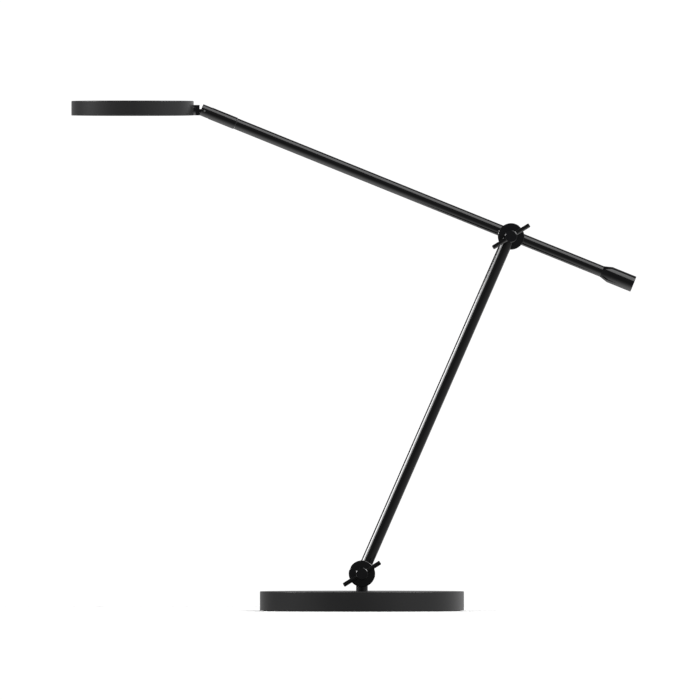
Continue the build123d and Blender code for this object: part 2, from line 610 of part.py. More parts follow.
def make_upper_friction_washer():
    """Friction washer between the two round plates."""
    with BuildPart() as upper_friction_washer:
        pipe(crosswise(UPPER_PIVOT, LOWER_PLATE_BACK), FRICTION_RING_R, STUD_R + RUNNING_GAP,
             WASHER_THICK)
    keep(upper_friction_washer, "upper_friction_washer")


def make_upper_arm_plate():
    """Round plate with a saddle behind for the tube, a thread for the stud and a lead hole."""
    with BuildPart() as upper_arm_plate:
        with BuildSketch(crosswise(UPPER_PIVOT, UPPER_PLATE_FRONT)):
            Circle(CHEEK_R)
        extrude(amount=UPPER_PLATE_BACK - UPPER_PLATE_FRONT)
        chamfer(upper_arm_plate.edges().filter_by(GeomType.CIRCLE), EDGE_CHAMFER)
        rod(UPPER_SECTION.offset(-2 * CHEEK_R), UPPER_TUBE_R, 4 * CHEEK_R, Mode.SUBTRACT)
        rod(crosswise(UPPER_PIVOT, 0), STUD_R, UPPER_STUD_BACK, Mode.SUBTRACT)
        rod(crosswise(UPPER_PIVOT, 0), STUD_BORE_R, ARM_Y, Mode.SUBTRACT)
    keep(upper_arm_plate, "upper_arm_plate")


def make_upper_arm_tube():
    """Long tube brazed in the plate's saddle, with holes for the lead and for the grub screw."""
    grub = UPPER_AXIS + UPPER_DIR * GRUB_STATION
    with BuildPart() as upper_arm_tube:
        with BuildSketch(UPPER_SECTION.offset(TUBE_FRONT)):
            Circle(UPPER_TUBE_R)
            Circle(UPPER_TUBE_BORE_R, mode=Mode.SUBTRACT)
        extrude(amount=TUBE_BACK - TUBE_FRONT)
        rod(crosswise(grub, ARM_Y), GRUB_R, WEIGHT_R, Mode.SUBTRACT)
        rod(crosswise(UPPER_PIVOT, 0), STUD_BORE_R, ARM_Y, Mode.SUBTRACT)
    keep(upper_arm_tube, "upper_arm_tube")


def make_counterweight():
    """Solid coned weight with a spigot in the tube's back end."""
    with BuildPart() as counterweight:
        with BuildSketch(Plane(origin=UPPER_AXIS, x_dir=UPPER_DIR, z_dir=(0, -1, 0))):
            with BuildLine():
                Polyline((WEIGHT_SPIGOT_START, 0), (WEIGHT_SPIGOT_START, UPPER_TUBE_BORE_R),
                         (TUBE_BACK, UPPER_TUBE_BORE_R), (TUBE_BACK, UPPER_TUBE_R),
                         (CONE_END, WEIGHT_R), (WEIGHT_END - EDGE_CHAMFER, WEIGHT_R),
                         (WEIGHT_END, WEIGHT_R - EDGE_CHAMFER), (WEIGHT_END, 0), close=True)
            make_face()
        revolve(axis=Axis(UPPER_AXIS, UPPER_DIR))
        grub = UPPER_AXIS + UPPER_DIR * GRUB_STATION
        rod(crosswise(grub, ARM_Y + UPPER_TUBE_R - GRUB_LENGTH), GRUB_R, WEIGHT_R, Mode.SUBTRACT)
    keep(counterweight, "counterweight")


def make_counterweight_screw():
    """Grub screw from behind, with a hexagon socket."""
    grub = UPPER_AXIS + UPPER_DIR * GRUB_STATION
    back = ARM_Y + UPPER_TUBE_R - FREE_GAP
    with BuildPart() as counterweight_screw:
        rod(crosswise(grub, ARM_Y + UPPER_TUBE_R - GRUB_LENGTH), GRUB_R, GRUB_LENGTH - FREE_GAP)
        with BuildSketch(crosswise(grub, back - GRUB_LENGTH / 2)):
            RegularPolygon(GRUB_R / 2, 6, major_radius=False)
        extrude(amount=GRUB_LENGTH / 2, mode=Mode.SUBTRACT)
    keep(counterweight_screw, "counterweight_screw")


def make_roll_bush():
    """Flanged bush in the tube's front end, for the sleeve's journal."""
    with BuildPart() as roll_bush:
        rod(UPPER_SECTION.offset(TUBE_FRONT - BUSH_FLANGE), UPPER_TUBE_R, BUSH_FLANGE)
        rod(UPPER_SECTION.offset(TUBE_FRONT), UPPER_TUBE_BORE_R, BUSH_END - TUBE_FRONT)
        rod(UPPER_SECTION.offset(TUBE_FRONT - SINK), JOURNAL_R + RUNNING_GAP,
            BUSH_END - TUBE_FRONT + 2 * SINK, Mode.SUBTRACT)
    keep(roll_bush, "roll_bush")


# ---------------------------------------------------------------- roll sleeve

def make_roll_sleeve():
    """Sleeve that rolls on the tube's end: a journal behind, a slotted fork in front."""
    slot = Plane(origin=UPPER_AXIS + UPPER_DIR * SLEEVE_FRONT, x_dir=(0, 1, 0), z_dir=UPPER_DIR)
    with BuildPart() as roll_sleeve:
        with BuildSketch(UPPER_SECTION.offset(SLEEVE_FRONT)):
            Circle(SLEEVE_R)
        extrude(amount=SLEEVE_BACK - SLEEVE_FRONT)
        chamfer(roll_sleeve.edges().filter_by(GeomType.CIRCLE), EDGE_CHAMFER)
        rod(UPPER_SECTION.offset(SLEEVE_BACK), JOURNAL_R, JOURNAL_END - SLEEVE_BACK)
        with BuildSketch(UPPER_SECTION.offset(CLIP_FRONT)):
            Circle(JOURNAL_R)
            Circle(CLIP_INNER_R, mode=Mode.SUBTRACT)
        extrude(amount=CLIP_WIDTH, mode=Mode.SUBTRACT)
        rod(slot, SLEEVE_BORE_R, JOURNAL_END - SLEEVE_FRONT, Mode.SUBTRACT)
        block(slot, SLOT_WIDTH, 3 * SLEEVE_R, SLOT_DEPTH, Mode.SUBTRACT)
        rod(crosswise(TILT_PIN, ARM_Y - SLEEVE_R), PIN_R, 2 * SLEEVE_R, Mode.SUBTRACT)
    keep(roll_sleeve, "roll_sleeve")


def make_roll_washer():
    """Wave washer, drawn flat, that gives the roll its friction."""
    with BuildPart() as roll_washer:
        pipe(UPPER_SECTION.offset(BUSH_END + TOUCH_GAP), CLIP_OUTER_R, JOURNAL_R, ROLL_WASHER_THICK)
    keep(roll_washer, "roll_washer")


def make_roll_clip():
    """Retaining clip in the journal's groove, behind the washer."""
    mouth = Plane(origin=UPPER_AXIS + UPPER_DIR * CLIP_FRONT + UPPER_UP * CLIP_OUTER_R, x_dir=(0, 1, 0),
                  z_dir=UPPER_DIR)
    with BuildPart() as roll_clip:
        pipe(UPPER_SECTION.offset(CLIP_FRONT), CLIP_OUTER_R, CLIP_INNER_R, CLIP_WIDTH)
        block(mouth, CLIP_MOUTH, CLIP_OUTER_R, CLIP_WIDTH + SINK, Mode.SUBTRACT)
    keep(roll_clip, "roll_clip")


def make_tilt_pin():
    """Hinge pin pressed across the sleeve's fork."""
    with BuildPart() as tilt_pin:
        rod(crosswise(TILT_PIN, ARM_Y - PIN_LENGTH / 2), PIN_R, PIN_LENGTH)
        chamfer(tilt_pin.edges().filter_by(GeomType.CIRCLE), EDGE_CHAMFER / 2)
    keep(tilt_pin, "tilt_pin")


def make_tilt_washers():
    """Thin friction washers on the pin, one each side of the blade."""
    with BuildPart() as tilt_washers:
        for y in (ARM_Y - SLOT_WIDTH / 2, ARM_Y + SLOT_WIDTH / 2 - TILT_WASHER_THICK):
            pipe(crosswise(TILT_PIN, y), TILT_WASHER_R, PIN_R, TILT_WASHER_THICK)
    keep(tilt_washers, "tilt_washers")


# ---------------------------------------------------------------- head

def make_head_blade():
    """Hinge blade of the head: an eye on the pin, a tall root, a flange and a hollow stud."""
    side = crosswise(TILT_PIN, ARM_Y - BLADE_THICK / 2)
    middle = (BLADE_TOP + BLADE_BOTTOM) / 2
    flange = Plane(origin=(TILT_PIN.X - FLANGE_FACE, ARM_Y, TILT_PIN.Z + middle), z_dir=(-1, 0, 0))
    stud = Plane(origin=(TILT_PIN.X - FLANGE_FACE, ARM_Y, TILT_PIN.Z + STUD_RISE), z_dir=(-1, 0, 0))
    rim_depth = HEAD_REACH - HEAD_R - FLANGE_FACE
    stud_length = rim_depth + HEAD_WALL + BLADE_NUT_THICK + SINK
    with BuildPart() as head_blade:
        # The side plane's own Y axis points down, so heights are entered with their sign turned.
        with BuildSketch(side):
            Circle(BLADE_EYE_R)
            with Locations((-FLANGE_FACE / 2, 0)):
                Rectangle(FLANGE_FACE, 2 * NECK_HALF)
            with Locations((-(FLANGE_FACE + BLADE_NEAR) / 2, -middle)):
                Rectangle(FLANGE_FACE - BLADE_NEAR, BLADE_TOP - BLADE_BOTTOM)
            Circle(PIN_R + RUNNING_GAP, mode=Mode.SUBTRACT)
        extrude(amount=BLADE_THICK)
        rod(flange, (BLADE_TOP - BLADE_BOTTOM) / 2, rim_depth + SINK)
        rod(HEAD_PLANE, HEAD_R, HEAD_HEIGHT, Mode.SUBTRACT)
        rod(stud, BLADE_STUD_R, stud_length)
        rod(stud.offset(BLADE_NEAR - FLANGE_FACE), BLADE_BORE_R, FLANGE_FACE - BLADE_NEAR + stud_length,
            Mode.SUBTRACT)
    keep(head_blade, "head_blade")

    with BuildPart() as head_lead:
        rod(stud.offset(BLADE_NEAR - FLANGE_FACE), HEAD_LEAD_R, FLANGE_FACE - BLADE_NEAR + stud_length)
    keep(head_lead, "head_lead")


def make_blade_nut():
    """Nut inside the head's rim; its face is curved to the wall."""
    wall_inside = HEAD_R - HEAD_WALL
    start = HEAD_REACH - wall_inside
    plane = Plane(origin=(TILT_PIN.X - start + SINK, ARM_Y, TILT_PIN.Z + STUD_RISE), x_dir=(0, 1, 0),
                  z_dir=(-1, 0, 0))
    with BuildPart() as blade_nut:
        with BuildSketch(plane):
            RegularPolygon(BLADE_NUT_FLATS / 2, 6, major_radius=False)
            Circle(BLADE_STUD_R, mode=Mode.SUBTRACT)
        extrude(amount=BLADE_NUT_THICK + SINK)
        rod(HEAD_PLANE, wall_inside, HEAD_HEIGHT, Mode.INTERSECT)
    keep(blade_nut, "blade_nut")


def make_head_housing():
    """Round cup of the head, open below, with one hole in its rim for the blade's stud."""
    hole = Plane(origin=(TILT_PIN.X, ARM_Y, TILT_PIN.Z + STUD_RISE), z_dir=(-1, 0, 0))
    with BuildPart() as head_housing:
        with BuildSketch(HEAD_PLANE):
            Circle(HEAD_R)
        extrude(amount=HEAD_HEIGHT)
        fillet(head_housing.faces().sort_by(Axis.Z)[-1].edges(), HEAD_TOP_EDGE)
        chamfer(head_housing.faces().sort_by(Axis.Z)[0].edges(), HEAD_RIM_EDGE)
        rod(HEAD_PLANE, HEAD_R - HEAD_WALL, HEAD_HEIGHT - HEAD_WALL, Mode.SUBTRACT)
        rod(hole, BLADE_STUD_R, HEAD_REACH - HEAD_R + 2 * HEAD_WALL, Mode.SUBTRACT)
    keep(head_housing, "head_housing")


def make_head_stack():
    """What lies under the housing's top: heat spreader, LED board, chips and screws."""
    spreader_z = HEAD_HEIGHT - HEAD_WALL - SPREADER_THICK
    board_z = spreader_z - LED_BOARD_THICK
    with BuildPart() as heat_spreader:
        rod(HEAD_PLANE.offset(spreader_z), SPREADER_R, SPREADER_THICK)
        with Locations(HEAD_PLANE.offset(spreader_z)):
            with PolarLocations(BOARD_SCREW_RING, BOARD_SCREWS):
                Cylinder(BOARD_SCREW_R, SPREADER_THICK, align=FROM_BASE, mode=Mode.SUBTRACT)
    keep(heat_spreader, "heat_spreader")

    with BuildPart() as led_board:
        rod(HEAD_PLANE.offset(board_z), LED_BOARD_R, LED_BOARD_THICK)
        with Locations(HEAD_PLANE.offset(board_z)):
            with PolarLocations(BOARD_SCREW_RING, BOARD_SCREWS):
                Cylinder(BOARD_SCREW_R, LED_BOARD_THICK, align=FROM_BASE, mode=Mode.SUBTRACT)
    keep(led_board, "led_board")

    with BuildPart() as led_chips:
        with Locations(HEAD_PLANE.offset(board_z - CHIP_HEIGHT)):
            for ring_radius, chip_count in CHIP_RINGS:
                with PolarLocations(ring_radius, chip_count, start_angle=180 / chip_count):
                    Box(CHIP_WIDTH, CHIP_LENGTH, CHIP_HEIGHT, align=FROM_BASE)
    keep(led_chips, "led_chips")

    with BuildPart() as head_screws:
        with Locations(HEAD_PLANE.offset(board_z - BOARD_SCREW_HEAD)):
            with PolarLocations(BOARD_SCREW_RING, BOARD_SCREWS):
                Cylinder(BOARD_SCREW_HEAD_R, BOARD_SCREW_HEAD, align=FROM_BASE)
                Cylinder(BOARD_SCREW_R, BOARD_SCREW_HEAD + LED_BOARD_THICK + SPREADER_THICK,
                         align=FROM_BASE)
    keep(head_screws, "head_screws")


def make_reflector_ring():
    """Thin flared ring from the LED board down to the diffuser."""
    board_z = HEAD_HEIGHT - HEAD_WALL - SPREADER_THICK - LED_BOARD_THICK
    diffuser_top = RING_THICK + DIFFUSER_THICK
    top_r = LED_BOARD_R - REFLECTOR_WALL
    side = Plane(origin=HEAD_CENTRE, x_dir=(1, 0, 0), z_dir=(0, -1, 0))
    with BuildPart() as reflector_ring:
        with BuildSketch(side):
            with BuildLine():
                Polyline((top_r, board_z), (LED_BOARD_R, board_z), (REFLECTOR_FOOT_R, diffuser_top),
                         (REFLECTOR_FOOT_R - REFLECTOR_WALL, diffuser_top), close=True)
            make_face()
        revolve(axis=Axis(HEAD_CENTRE, (0, 0, 1)))
    keep(reflector_ring, "reflector_ring")


def make_diffuser():
    """Opal disc held up by a thin ring that snaps into the rim."""
    with BuildPart() as diffuser:
        rod(HEAD_PLANE.offset(RING_THICK), DIFFUSER_R, DIFFUSER_THICK)
    keep(diffuser, "diffuser")

    with BuildPart() as diffuser_ring:
        pipe(HEAD_PLANE, HEAD_R - HEAD_WALL, RING_INNER_R, RING_THICK)
    keep(diffuser_ring, "diffuser_ring")


make_base_cover()
make_ballast_disc()
make_base_plate()
make_base_pad()
make_base_screws()
make_cord_gland()
make_driver()
make_dimmer()
make_bent_lead("lamp_lead", (*LAMP_LEAD_END, LEAD_Z), (0, 0, LEAD_Z),
               (0, 0, LOWER_PIVOT.Z - FORK_FLOOR_R - LEAD_END_GAP))
make_bent_lead("dimmer_lead", (*DIMMER_LEAD_END, LEAD_Z), (0, BUTTON_Y, LEAD_Z),
               (0, BUTTON_Y, DIMMER_POCKET_BOTTOM))
make_swivel_bush()
make_post_shaft()
make_stop_washer()
make_post_nut()
make_lower_fork()
make_lower_friction_washers()
make_lower_clamp_stud()
make_clamp("lower", LOWER_PIVOT, -FORK_HALF)
make_lower_arm_foot()
make_lower_arm_tube()
make_lower_arm_head()
make_straight_lead("lower_arm_lead", LOWER_SECTION, EYE_CAVITY_R, LOWER_REACH - BOSS_CAVITY_R)
make_upper_clamp_stud()
make_clamp("upper", UPPER_PIVOT, BOSS_FRONT)
make_upper_friction_washer()
make_upper_arm_plate()
make_upper_arm_tube()
make_straight_lead("upper_arm_lead", UPPER_SECTION, SLEEVE_FRONT + SLOT_DEPTH, STUD_BORE_R)
make_counterweight()
make_counterweight_screw()
make_roll_bush()
make_roll_sleeve()
make_roll_washer()
make_roll_clip()
make_tilt_pin()
make_tilt_washers()
make_head_blade()
make_blade_nut()
make_head_housing()
make_head_stack()
make_reflector_ring()
make_diffuser()

print("lower pivot", LOWER_PIVOT)
print("upper pivot", UPPER_PIVOT)
print("roll axis point", UPPER_AXIS, "direction", UPPER_DIR)
print("tilt pin", TILT_PIN)
print("head centre", HEAD_CENTRE)
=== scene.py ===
"""Counterweight balance desk lamp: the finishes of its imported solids, the pieces that are shaped
more finely than they are there, and the plain studio that the lamp stands in."""

import json
from math import cos, pi, radians, sin

import bmesh
import bpy
from bpy.props import FloatProperty, FloatVectorProperty, IntProperty, PointerProperty
from mathutils import Matrix, Vector


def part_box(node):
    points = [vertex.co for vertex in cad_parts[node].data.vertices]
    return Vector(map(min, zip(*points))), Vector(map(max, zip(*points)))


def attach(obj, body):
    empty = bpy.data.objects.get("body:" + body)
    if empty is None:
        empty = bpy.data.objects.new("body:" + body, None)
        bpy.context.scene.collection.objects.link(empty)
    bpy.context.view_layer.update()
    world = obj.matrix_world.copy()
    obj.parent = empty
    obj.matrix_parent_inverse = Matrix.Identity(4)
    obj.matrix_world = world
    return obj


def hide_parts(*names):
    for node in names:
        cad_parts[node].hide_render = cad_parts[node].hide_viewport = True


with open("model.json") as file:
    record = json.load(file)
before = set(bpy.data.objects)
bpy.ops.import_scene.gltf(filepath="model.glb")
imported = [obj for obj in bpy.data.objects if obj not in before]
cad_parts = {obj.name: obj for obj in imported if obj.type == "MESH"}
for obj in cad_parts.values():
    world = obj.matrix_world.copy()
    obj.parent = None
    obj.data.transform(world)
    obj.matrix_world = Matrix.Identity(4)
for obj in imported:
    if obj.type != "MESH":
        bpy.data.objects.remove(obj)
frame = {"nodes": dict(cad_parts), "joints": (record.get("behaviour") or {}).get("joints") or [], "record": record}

bl_info = {
    "name": "Counterweight balance desk lamp",
    "version": (1, 0, 0),
    "blender": (4, 5, 0),
    "location": "3D View > Sidebar > Desk lamp",
    "description": "Finishes, fine shapes and studio of a desk lamp with two clamped arms",
    "category": "Object",
}

# Frame: metres, +X towards the counterweight, +Y away from the viewer, +Z up, from the middle
# of the base's underside. Every object sits at the origin, and its place is in its mesh.

MM = 0.001
BODY_OF = {node: body for body, nodes in frame["record"]["behaviour"]["bodies"].items()
           for node in nodes}
SLOT_OF = {part["node"]: part["material_slot"] for part in frame["record"]["subparts"]}
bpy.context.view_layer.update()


def centre_of(node):
    """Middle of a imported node's box."""
    low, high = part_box(node)
    return (low + high) / 2


def foot_of(node):
    """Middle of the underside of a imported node's box."""
    return Vector((*centre_of(node).xy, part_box(node)[0].z))


UP = Vector((0, 0, 1))
AWAY = Vector((0, 1, 0))
ROLL_JOINT = next(joint for joint in frame["joints"] if joint["name"] == "head_roll")
UPPER_AXIS = Vector(ROLL_JOINT["pos_m"])
UPPER_DIR = Vector(ROLL_JOINT["axis"]).normalized()

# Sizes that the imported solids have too
BAR_HALF = 21.2 * MM
BAR_RISE = radians(31.8)
BUTTON_FLANGE_WIDTH, BUTTON_FLANGE_THICK = 1.6 * MM, 1.2 * MM
HEAD_WALL = 1.5 * MM
TUBE_BORE, TUBE_OUTSIDE = 4.6 * MM, 5.6 * MM
WEIGHT_RADIUS = 8.0 * MM
SPIGOT_START, TUBE_END, CONE_END, WEIGHT_END = 78.0 * MM, 95.6 * MM, 103.8 * MM, 128.9 * MM

NEAR = 0.01 * MM            # points this close are in one place
SHARP = radians(20)         # edges that turn by more than this are rounded


# ---------------------------------------------------------------- sizes and colours

class LampFinishes(bpy.types.PropertyGroup):
    """Colours and gloss of the lamp's surfaces."""

    satin_coat: FloatVectorProperty(
        name="Satin coat", description="Colour of the base and the head", size=3,
        subtype="COLOR", min=0, max=1, default=(0.0222, 0.0222, 0.0227))
    satin_roughness: FloatProperty(
        name="Satin roughness", description="Roughness of the base's and the head's coat",
        subtype="FACTOR", min=0, max=1, default=0.30)
    gloss_paint: FloatVectorProperty(
        name="Gloss paint", description="Colour of the tubes and the counterweight", size=3,
        subtype="COLOR", min=0, max=1, default=(0.0030, 0.0030, 0.0034))
    gloss_roughness: FloatProperty(
        name="Gloss roughness", description="Roughness of the tubes' paint",
        subtype="FACTOR", min=0, max=1, default=0.12)
    joint_coat: FloatVectorProperty(
        name="Joint coat", description="Colour of the round joint plates and their nuts", size=3,
        subtype="COLOR", min=0, max=1, default=(0.0030, 0.0030, 0.0042))
    circuit_green: FloatVectorProperty(
        name="Circuit green", description="Solder mask of the driver's and the dimmer's boards",
        size=3, subtype="COLOR", min=0, max=1, default=(0.010, 0.085, 0.035))
    opal_white: FloatVectorProperty(
        name="Opal white", description="Acrylic of the diffuser", size=3,
        subtype="COLOR", min=0, max=1, default=(0.86, 0.86, 0.84))


class LampShapes(bpy.types.PropertyGroup):
    """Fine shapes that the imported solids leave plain."""

    soft_edge: FloatProperty(
        name="Soft edge", description="Rounding of the counterweight's and the button's edge",
        unit="LENGTH", min=0, max=2 * MM, default=0.5 * MM)
    head_edge: FloatProperty(
        name="Head edge", description="Rounding of the head's upper edge", unit="LENGTH",
        min=0, max=2 * MM, default=0.8 * MM)
    rim_edge: FloatProperty(
        name="Rim edge", description="Rounding of the head's rim and the pad's edges",
        unit="LENGTH", min=0, max=0.5 * MM, default=0.3 * MM)
    bar_dome: FloatProperty(
        name="Bar dome", description="Rounding of the cross bars' ends, as a share of their radius",
        subtype="FACTOR", min=0, max=0.9, default=0.45)
    lathe_centre_radius: FloatProperty(
        name="Lathe centre radius", description="Radius of the mark in the counterweight's end",
        unit="LENGTH", min=0, max=3 * MM, default=1.2 * MM)
    lathe_centre_depth: FloatProperty(
        name="Lathe centre depth", description="Depth of the mark in the counterweight's end",
        unit="LENGTH", min=0, max=3 * MM, default=0.9 * MM)
    button_rim: FloatProperty(
        name="Button rim", description="Width of the flat rim round the button's dish",
        unit="LENGTH", min=0, max=3 * MM, default=1.2 * MM)
    button_dish: FloatProperty(
        name="Button dish", description="Depth of the finger dish in the dimmer button",
        unit="LENGTH", min=0, max=1 * MM, default=0.5 * MM)
    pad_rib_pitch: FloatProperty(
        name="Pad rib pitch", description="Distance between the ribs under the pad",
        unit="LENGTH", min=1 * MM, max=10 * MM, default=3 * MM)
    pad_rib_depth: FloatProperty(
        name="Pad rib depth", description="Depth of the grooves between the pad's ribs",
        unit="LENGTH", min=0, max=0.8 * MM, default=0.4 * MM)
    turning_steps: IntProperty(
        name="Turning steps", description="Sides of a small turned piece", min=16, max=256,
        default=96)


class LampStudio(bpy.types.PropertyGroup):
    """Camera, lights and floor."""

    aim: FloatVectorProperty(
        name="Aim", description="Point in the middle of the picture", size=3,
        subtype="XYZ", unit="LENGTH", default=(-0.0117, 0, 0.2557))
    view_width: FloatProperty(
        name="View width", description="Width of what the picture takes in at the lamp",
        unit="LENGTH", min=0.1, default=0.686)
    lens: FloatProperty(
        name="Lens", description="Focal length in millimetres; long, for an almost flat view",
        min=50, max=5000, default=1700)
    room_front: FloatProperty(
        name="Room front", description="Brightness of the room in front of the lamp", min=0,
        default=0.13)
    room_left: FloatProperty(
        name="Room left", description="Brightness of the room on the left", min=0,
        default=0.155)
    room_right: FloatProperty(
        name="Room right", description="Brightness of the room on the right", min=0,
        default=0.28)
    room_behind: FloatProperty(
        name="Room behind", description="Brightness of the room behind the lamp", min=0,
        default=0.35)
    room_behind_right: FloatProperty(
        name="Room behind right", min=0, default=0.41,
        description="Brightness of the room behind the lamp on its right")
    room_below: FloatProperty(
        name="Room below", min=0, default=2.2,
        description="Brightness of the room straight below, for what the gloss reflects")
    overhead: FloatProperty(
        name="Overhead", description="Brightness of the soft box above, on the right", min=0,
        default=2.9)
    low_right: FloatProperty(
        name="Low right", description="Brightness of the lower soft box on the right", min=0,
        default=9.7)
    left_side: FloatProperty(
        name="Left side", description="Brightness of the soft box straight on the left", min=0,
        default=20.4)
    left_front: FloatProperty(
        name="Left front", description="Brightness of the soft box in front on the left", min=0,
        default=6.2)
    floor_radius: FloatProperty(
        name="Floor radius", description="Radius of the pale round floor", unit="LENGTH",
        min=0.2, default=0.65)
    floor_drop: FloatProperty(
        name="Floor drop", unit="LENGTH", min=0, default=0.05 * MM,
        description="Depth of the floor below the pad, which keeps their faces apart")
    paper: FloatProperty(
        name="Paper", description="Brightness of the white paper that the camera sees", min=0,
        default=1.05)


# Soft boxes: turn from the viewer's side towards the right, height angle, distance, width, height
SOFT_BOXES = {
    "overhead": (49, 58, 4.0, 2.8, 2.8),
    "low_right": (75, 38, 4.0, 2.6, 2.0),
    "left_side": (-91, 21, 4.0, 1.8, 1.0),
    "left_front": (-66, 21, 4.0, 1.8, 1.0),
}


# The room's sides: the way to each one's middle, and how closely its light keeps to that way
ROOM_SIDES = {
    "room_front": ((0, -1, 0), 1), "room_left": ((-1, 0, 0), 1), "room_right": ((1, 0, 0), 1),
    "room_behind": ((0, 1, 0), 3), "room_behind_right": ((1, 1, 0), 6),
    "room_below": ((0, 0, -1), 3),
}


# ---------------------------------------------------------------- mixing finishes

class Value:
    """Number that changes over a surface; Python's operators add its Math nodes."""

    def __init__(self, finish, socket):
        self.finish = finish
        self.socket = socket

    def math(self, operation, *inputs):
        node = self.finish.node("ShaderNodeMath", {"operation": operation},
                                dict(enumerate(inputs)))
        return Value(self.finish, node.outputs[0])

    def __add__(self, other):
        return self.math("ADD", self, other)

    __radd__ = __add__

    def __mul__(self, other):
        return self.math("MULTIPLY", self, other)

    __rmul__ = __mul__

    def __sub__(self, other):
        return self.math("SUBTRACT", self, other)

    def __rsub__(self, other):
        return self.math("SUBTRACT", other, self)

    def __gt__(self, other):
        return self.math("GREATER_THAN", self, other)

    def __lt__(self, other):
        return self.math("LESS_THAN", self, other)

    def __pow__(self, other):
        return self.math("POWER", self, other)

    def over(self, low, high):
        """0 below low, 1 above high and even between them."""
        node = self.finish.node("ShaderNodeMapRange", {"clamp": True},
                                {"Value": self, "From Min": low, "From Max": high})
        return Value(self.finish, node.outputs[0])


class Mixing:
    """Node tree while it is mixed."""

    def __init__(self, tree):
        self.tree = tree
        self.tree.nodes.clear()

    def node(self, kind, settings=None, sockets=None):
        """Add a node: its settings first, then the value or link of each socket named."""
        node = self.tree.nodes.new(kind)
        for setting, choice in (settings or {}).items():
            setattr(node, setting, choice)
        for socket, given in (sockets or {}).items():
            if isinstance(given, Value):
                given = given.socket
            if isinstance(given, bpy.types.NodeSocket):
                self.tree.links.new(given, node.inputs[socket])
            else:
                node.inputs[socket].default_value = given
        return node


class Finish(Mixing):
    """One material while it is mixed, on the lamp's own coordinates."""

    def __init__(self, name):
        self.material = bpy.data.materials.new(name)
        self.material.use_nodes = True
        super().__init__(self.material.node_tree)
        self.place = self.node("ShaderNodeTexCoord").outputs["Object"]

    def moved(self, shift=(0, 0, 0), stretch=(1, 1, 1)):
        """The lamp's coordinates, shifted or stretched for a pattern."""
        return self.node("ShaderNodeMapping", None, {
            "Vector": self.place, "Location": shift, "Scale": stretch}).outputs[0]

    def noise(self, scale, detail=2.0, place=None):
        """Cloudy grain, about 0 to 1; scale is in grains a metre."""
        node = self.node("ShaderNodeTexNoise", None, {
            "Vector": place or self.place, "Scale": scale, "Detail": detail})
        return Value(self, node.outputs["Fac"])

    def cells(self, scale, feature="F1"):
        """Distance pattern of scattered cells; scale is in cells a metre."""
        node = self.node("ShaderNodeTexVoronoi", {"feature": feature},
                         {"Vector": self.place, "Scale": scale})
        return Value(self, node.outputs["Distance"])

    def rings(self, centre, axis, scale):
        """Fine turning marks round an axis of the lamp's frame."""
        node = self.node("ShaderNodeTexWave", {
            "wave_type": "RINGS", "rings_direction": axis, "wave_profile": "SIN",
        }, {"Vector": self.moved(shift=-centre), "Scale": scale, "Distortion": 0.4,
            "Detail": 1.0, "Detail Scale": 3.0})
        return Value(self, node.outputs["Fac"])

    def bands(self, axis, scale):
        """Straight stripes square to an axis, 0 to 1 and back; scale is in stripes a metre."""
        node = self.node("ShaderNodeTexWave", {
            "wave_type": "BANDS", "bands_direction": axis, "wave_profile": "TRI",
        }, {"Vector": self.place, "Scale": scale, "Distortion": 0.0})
        return Value(self, node.outputs["Fac"])

    def mix(self, mask, colour_low, colour_high):
        """Colour that goes from the low one to the high one with the mask."""
        colour_low, colour_high = (
            (*c, 1) if isinstance(c, tuple) and len(c) == 3 else c
            for c in (colour_low, colour_high))
        node = self.node("ShaderNodeMix", {"data_type": "RGBA", "clamp_factor": True},
                         {0: mask, 6: colour_low, 7: colour_high})
        return node.outputs[2]

    def bump(self, height, depth):
        """Surface relief of that depth in metres."""
        return self.node("ShaderNodeBump", None, {
            "Height": height, "Distance": depth, "Strength": 1.0}).outputs[0]

    def done(self, one_sided=False, **surface):
        """Close the material with one shader; names are its sockets with _ for a space."""
        sockets = {name.replace("_", " "): value for name, value in surface.items()}
        shader = self.node("ShaderNodeBsdfPrincipled", None, sockets)
        if one_sided:
            clear = self.node("ShaderNodeBsdfTransparent")
            behind = self.node("ShaderNodeNewGeometry").outputs["Backfacing"]
            shader = self.node("ShaderNodeMixShader", None, {
                0: behind, 1: shader.outputs[0], 2: clear.outputs[0]})
        self.node("ShaderNodeOutputMaterial", None, {"Surface": shader.outputs[0]})
        return self.material


def darker(colour, share):
    """The colour with each channel at that share of itself."""
    return tuple(channel * share for channel in colour)


# ---------------------------------------------------------------- finishes

def satin_coat(name):
    """Fine satin powder coat: a slight grain, and wear that shows only as a change of gloss."""
    choice = bpy.context.scene.lamp_finishes
    finish = Finish(name)
    grain = finish.noise(1900, 3)
    cloud = finish.noise(14, 2)
    colour = finish.mix(cloud.over(0.3, 0.7), darker(choice.satin_coat, 0.92),
                        darker(choice.satin_coat, 1.08))
    return finish.done(
        Base_Color=colour,
        Roughness=choice.satin_roughness + (cloud - 0.5) * 0.06 + (grain - 0.5) * 0.04,
        Normal=finish.bump(grain, 0.012 * MM), Specular_IOR_Level=0.25)


def gloss_paint(name):
    """Sprayed gloss black with a faint orange peel."""
    choice = bpy.context.scene.lamp_finishes
    finish = Finish(name)
    peel = finish.noise(420, 1)
    dust = finish.noise(60, 3)
    return finish.done(
        Base_Color=finish.mix(dust, darker(choice.gloss_paint, 0.8),
                              darker(choice.gloss_paint, 1.2)),
        Roughness=choice.gloss_roughness + (dust - 0.5) * 0.05,
        Normal=finish.bump(peel, 0.006 * MM))


